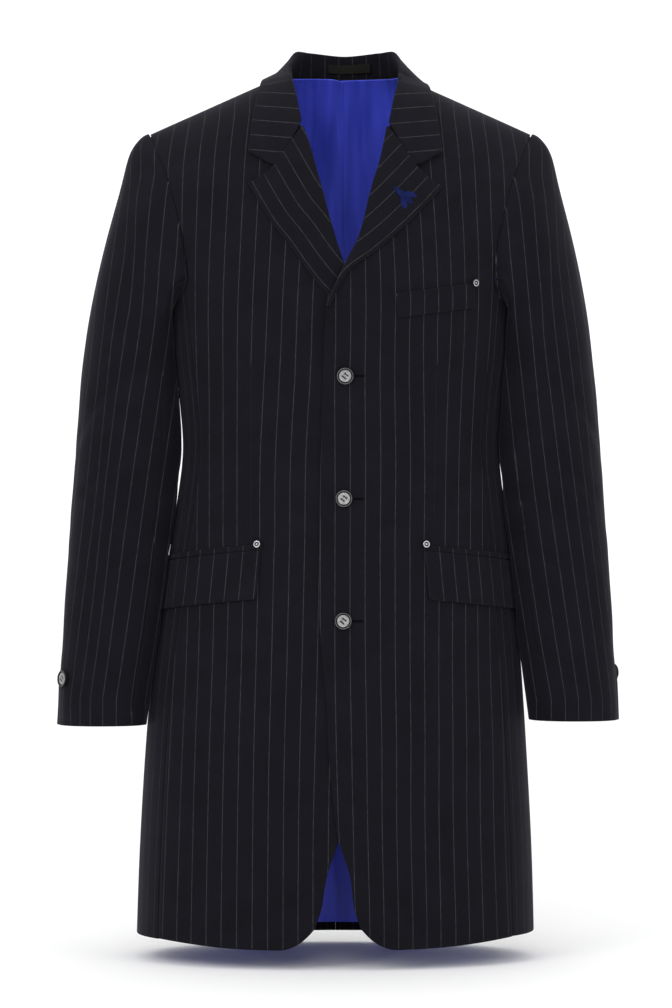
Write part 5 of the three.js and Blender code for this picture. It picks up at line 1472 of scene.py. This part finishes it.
# Label
neckLabel = {"wide": 48, "offset": 5, "seat": 0.3, "low": 0.075, "high": 0.205, "turn": 300, "deep": 0.8,
             "lift": 0.8, "tall": 10, "columns": 40, "rows": 10}
s = np.linspace(0, 1, neckLabel["columns"])[None, :]
t = np.linspace(0, 1, neckLabel["rows"])[:, None]
x = mix(-0.5, 0.5, s) * neckLabel["wide"] + neckLabel["offset"] + 0 * t
p = collarPoint(0.5 + x / neckLabel["turn"], mix(neckLabel["low"], neckLabel["high"], t) + 0 * x)[0]
y = p[..., 1] - cloth / 2 - gap - neckLabel["seat"] - neckLabel["deep"] / 2 - neckLabel["lift"]
mid = stack(x + body["neckMiddle"], y, p[..., 2])
uv = np.stack([x, neckLabel["tall"] * t + 0 * x], -1)
obj = shell("neck_label_cloth", mid, None, neckLabel["deep"], uv, [plain["labelCloth"]])
asCloth(obj, "neck_label")
for side, name in ((1, "left"), (-1, "right")):
    asCloth(frontPieces[side], name + "_front")
print("trims made")

# Floor, lights and camera
studio = {
    "floorZ": -0.985, "wallY": 1.6, "curve": 0.9, "floorY": -3.5, "half": 5, "tall": 4.5, "world": 0.85,
}


def sweep():
    turn = np.linspace(0, math.pi / 2, 24)
    curve, wall = studio["curve"], studio["wallY"]
    y = np.concatenate([[studio["floorY"]], wall - curve + curve * np.sin(turn), [wall]])
    z = np.concatenate([[0], curve * (1 - np.cos(turn)), [studio["tall"]]]) + studio["floorZ"]
    points = [(1000 * x, 1000 * a, 1000 * b) for a, b in zip(y, z) for x in (-studio["half"], studio["half"])]
    faces = [(2 * k, 2 * k + 1, 2 * k + 3, 2 * k + 2) for k in range(len(y) - 1)]
    material, tree, shader = newMaterial("sweepPaper")
    place = tree.nodes.new("ShaderNodeTexCoord")
    tone = grain(tree, place.outputs["Object"], 3, 3)
    put(tree, shader.inputs["Base Color"], blend(tree, tone, (0.94, 0.94, 0.94, 1), (0.97, 0.97, 0.97, 1)))
    setInputs(shader, {"Roughness": 0.9})
    behind = tree.nodes.new("ShaderNodeNewGeometry")  # seen from behind, the paper lets the view through
    clear = tree.nodes.new("ShaderNodeBsdfTransparent")
    either = tree.nodes.new("ShaderNodeMixShader")
    tree.links.new(behind.outputs["Backfacing"], either.inputs[0])
    tree.links.new(shader.outputs[0], either.inputs[1])
    tree.links.new(clear.outputs[0], either.inputs[2])
    tree.links.new(either.outputs[0], tree.nodes["Material Output"].inputs["Surface"])
    makeMesh("sweep", points, faces, [material])


def areaLight(name, place, target, size, power):
    light = bpy.data.lights.new(name, "AREA")
    light.shape = "RECTANGLE"
    light.size, light.size_y = size
    light.energy = power
    obj = bpy.data.objects.new(name, light)
    obj.location = place
    way = np.array(target) - np.array(place)
    tilt = math.acos(-way[2] / np.linalg.norm(way))
    obj.rotation_euler = (tilt, 0, math.atan2(way[1], way[0]) - math.pi / 2)
    bpy.context.scene.collection.objects.link(obj)


# name, place, what it points at, size, strength
lights = (
    ("key", (-1.9, -2.6, 1.3), (0, 0, -0.4), (1.8, 1.8), 30),
    ("fill", (2.4, -2.2, 0.2), (0, 0, -0.5), (1.8, 2.2), 12),
    ("front", (0.0, -3.6, 0.7), (0, 0, -0.2), (1.4, 1.4), 26),
    ("top", (0.2, -0.3, 2.2), (0, 0, -0.3), (2.6, 1.8), 16),
)
sweep()
for light in lights:
    areaLight(*light)
world = bpy.data.worlds.new("studioWorld")
world.use_nodes = True
setInputs(world.node_tree.nodes["Background"], {"Color": (1, 1, 1, 1), "Strength": studio["world"]})
scene = bpy.context.scene
scene.world = world
scene.view_settings.view_transform = "Standard"

camera = bpy.data.objects.new("camera", bpy.data.cameras.new("camera"))
camera.data.lens = view["lens"]
camera.data.sensor_width = view["sensor"]
camera.data.sensor_fit = "AUTO"
camera.data.clip_end = 50
camera.location = (view["aside"] / 1000, -view["far"] / 1000, view["level"] / 1000)
camera.rotation_euler = (math.pi / 2, 0, 0)
scene.collection.objects.link(camera)
scene.camera = camera
print("studio made")
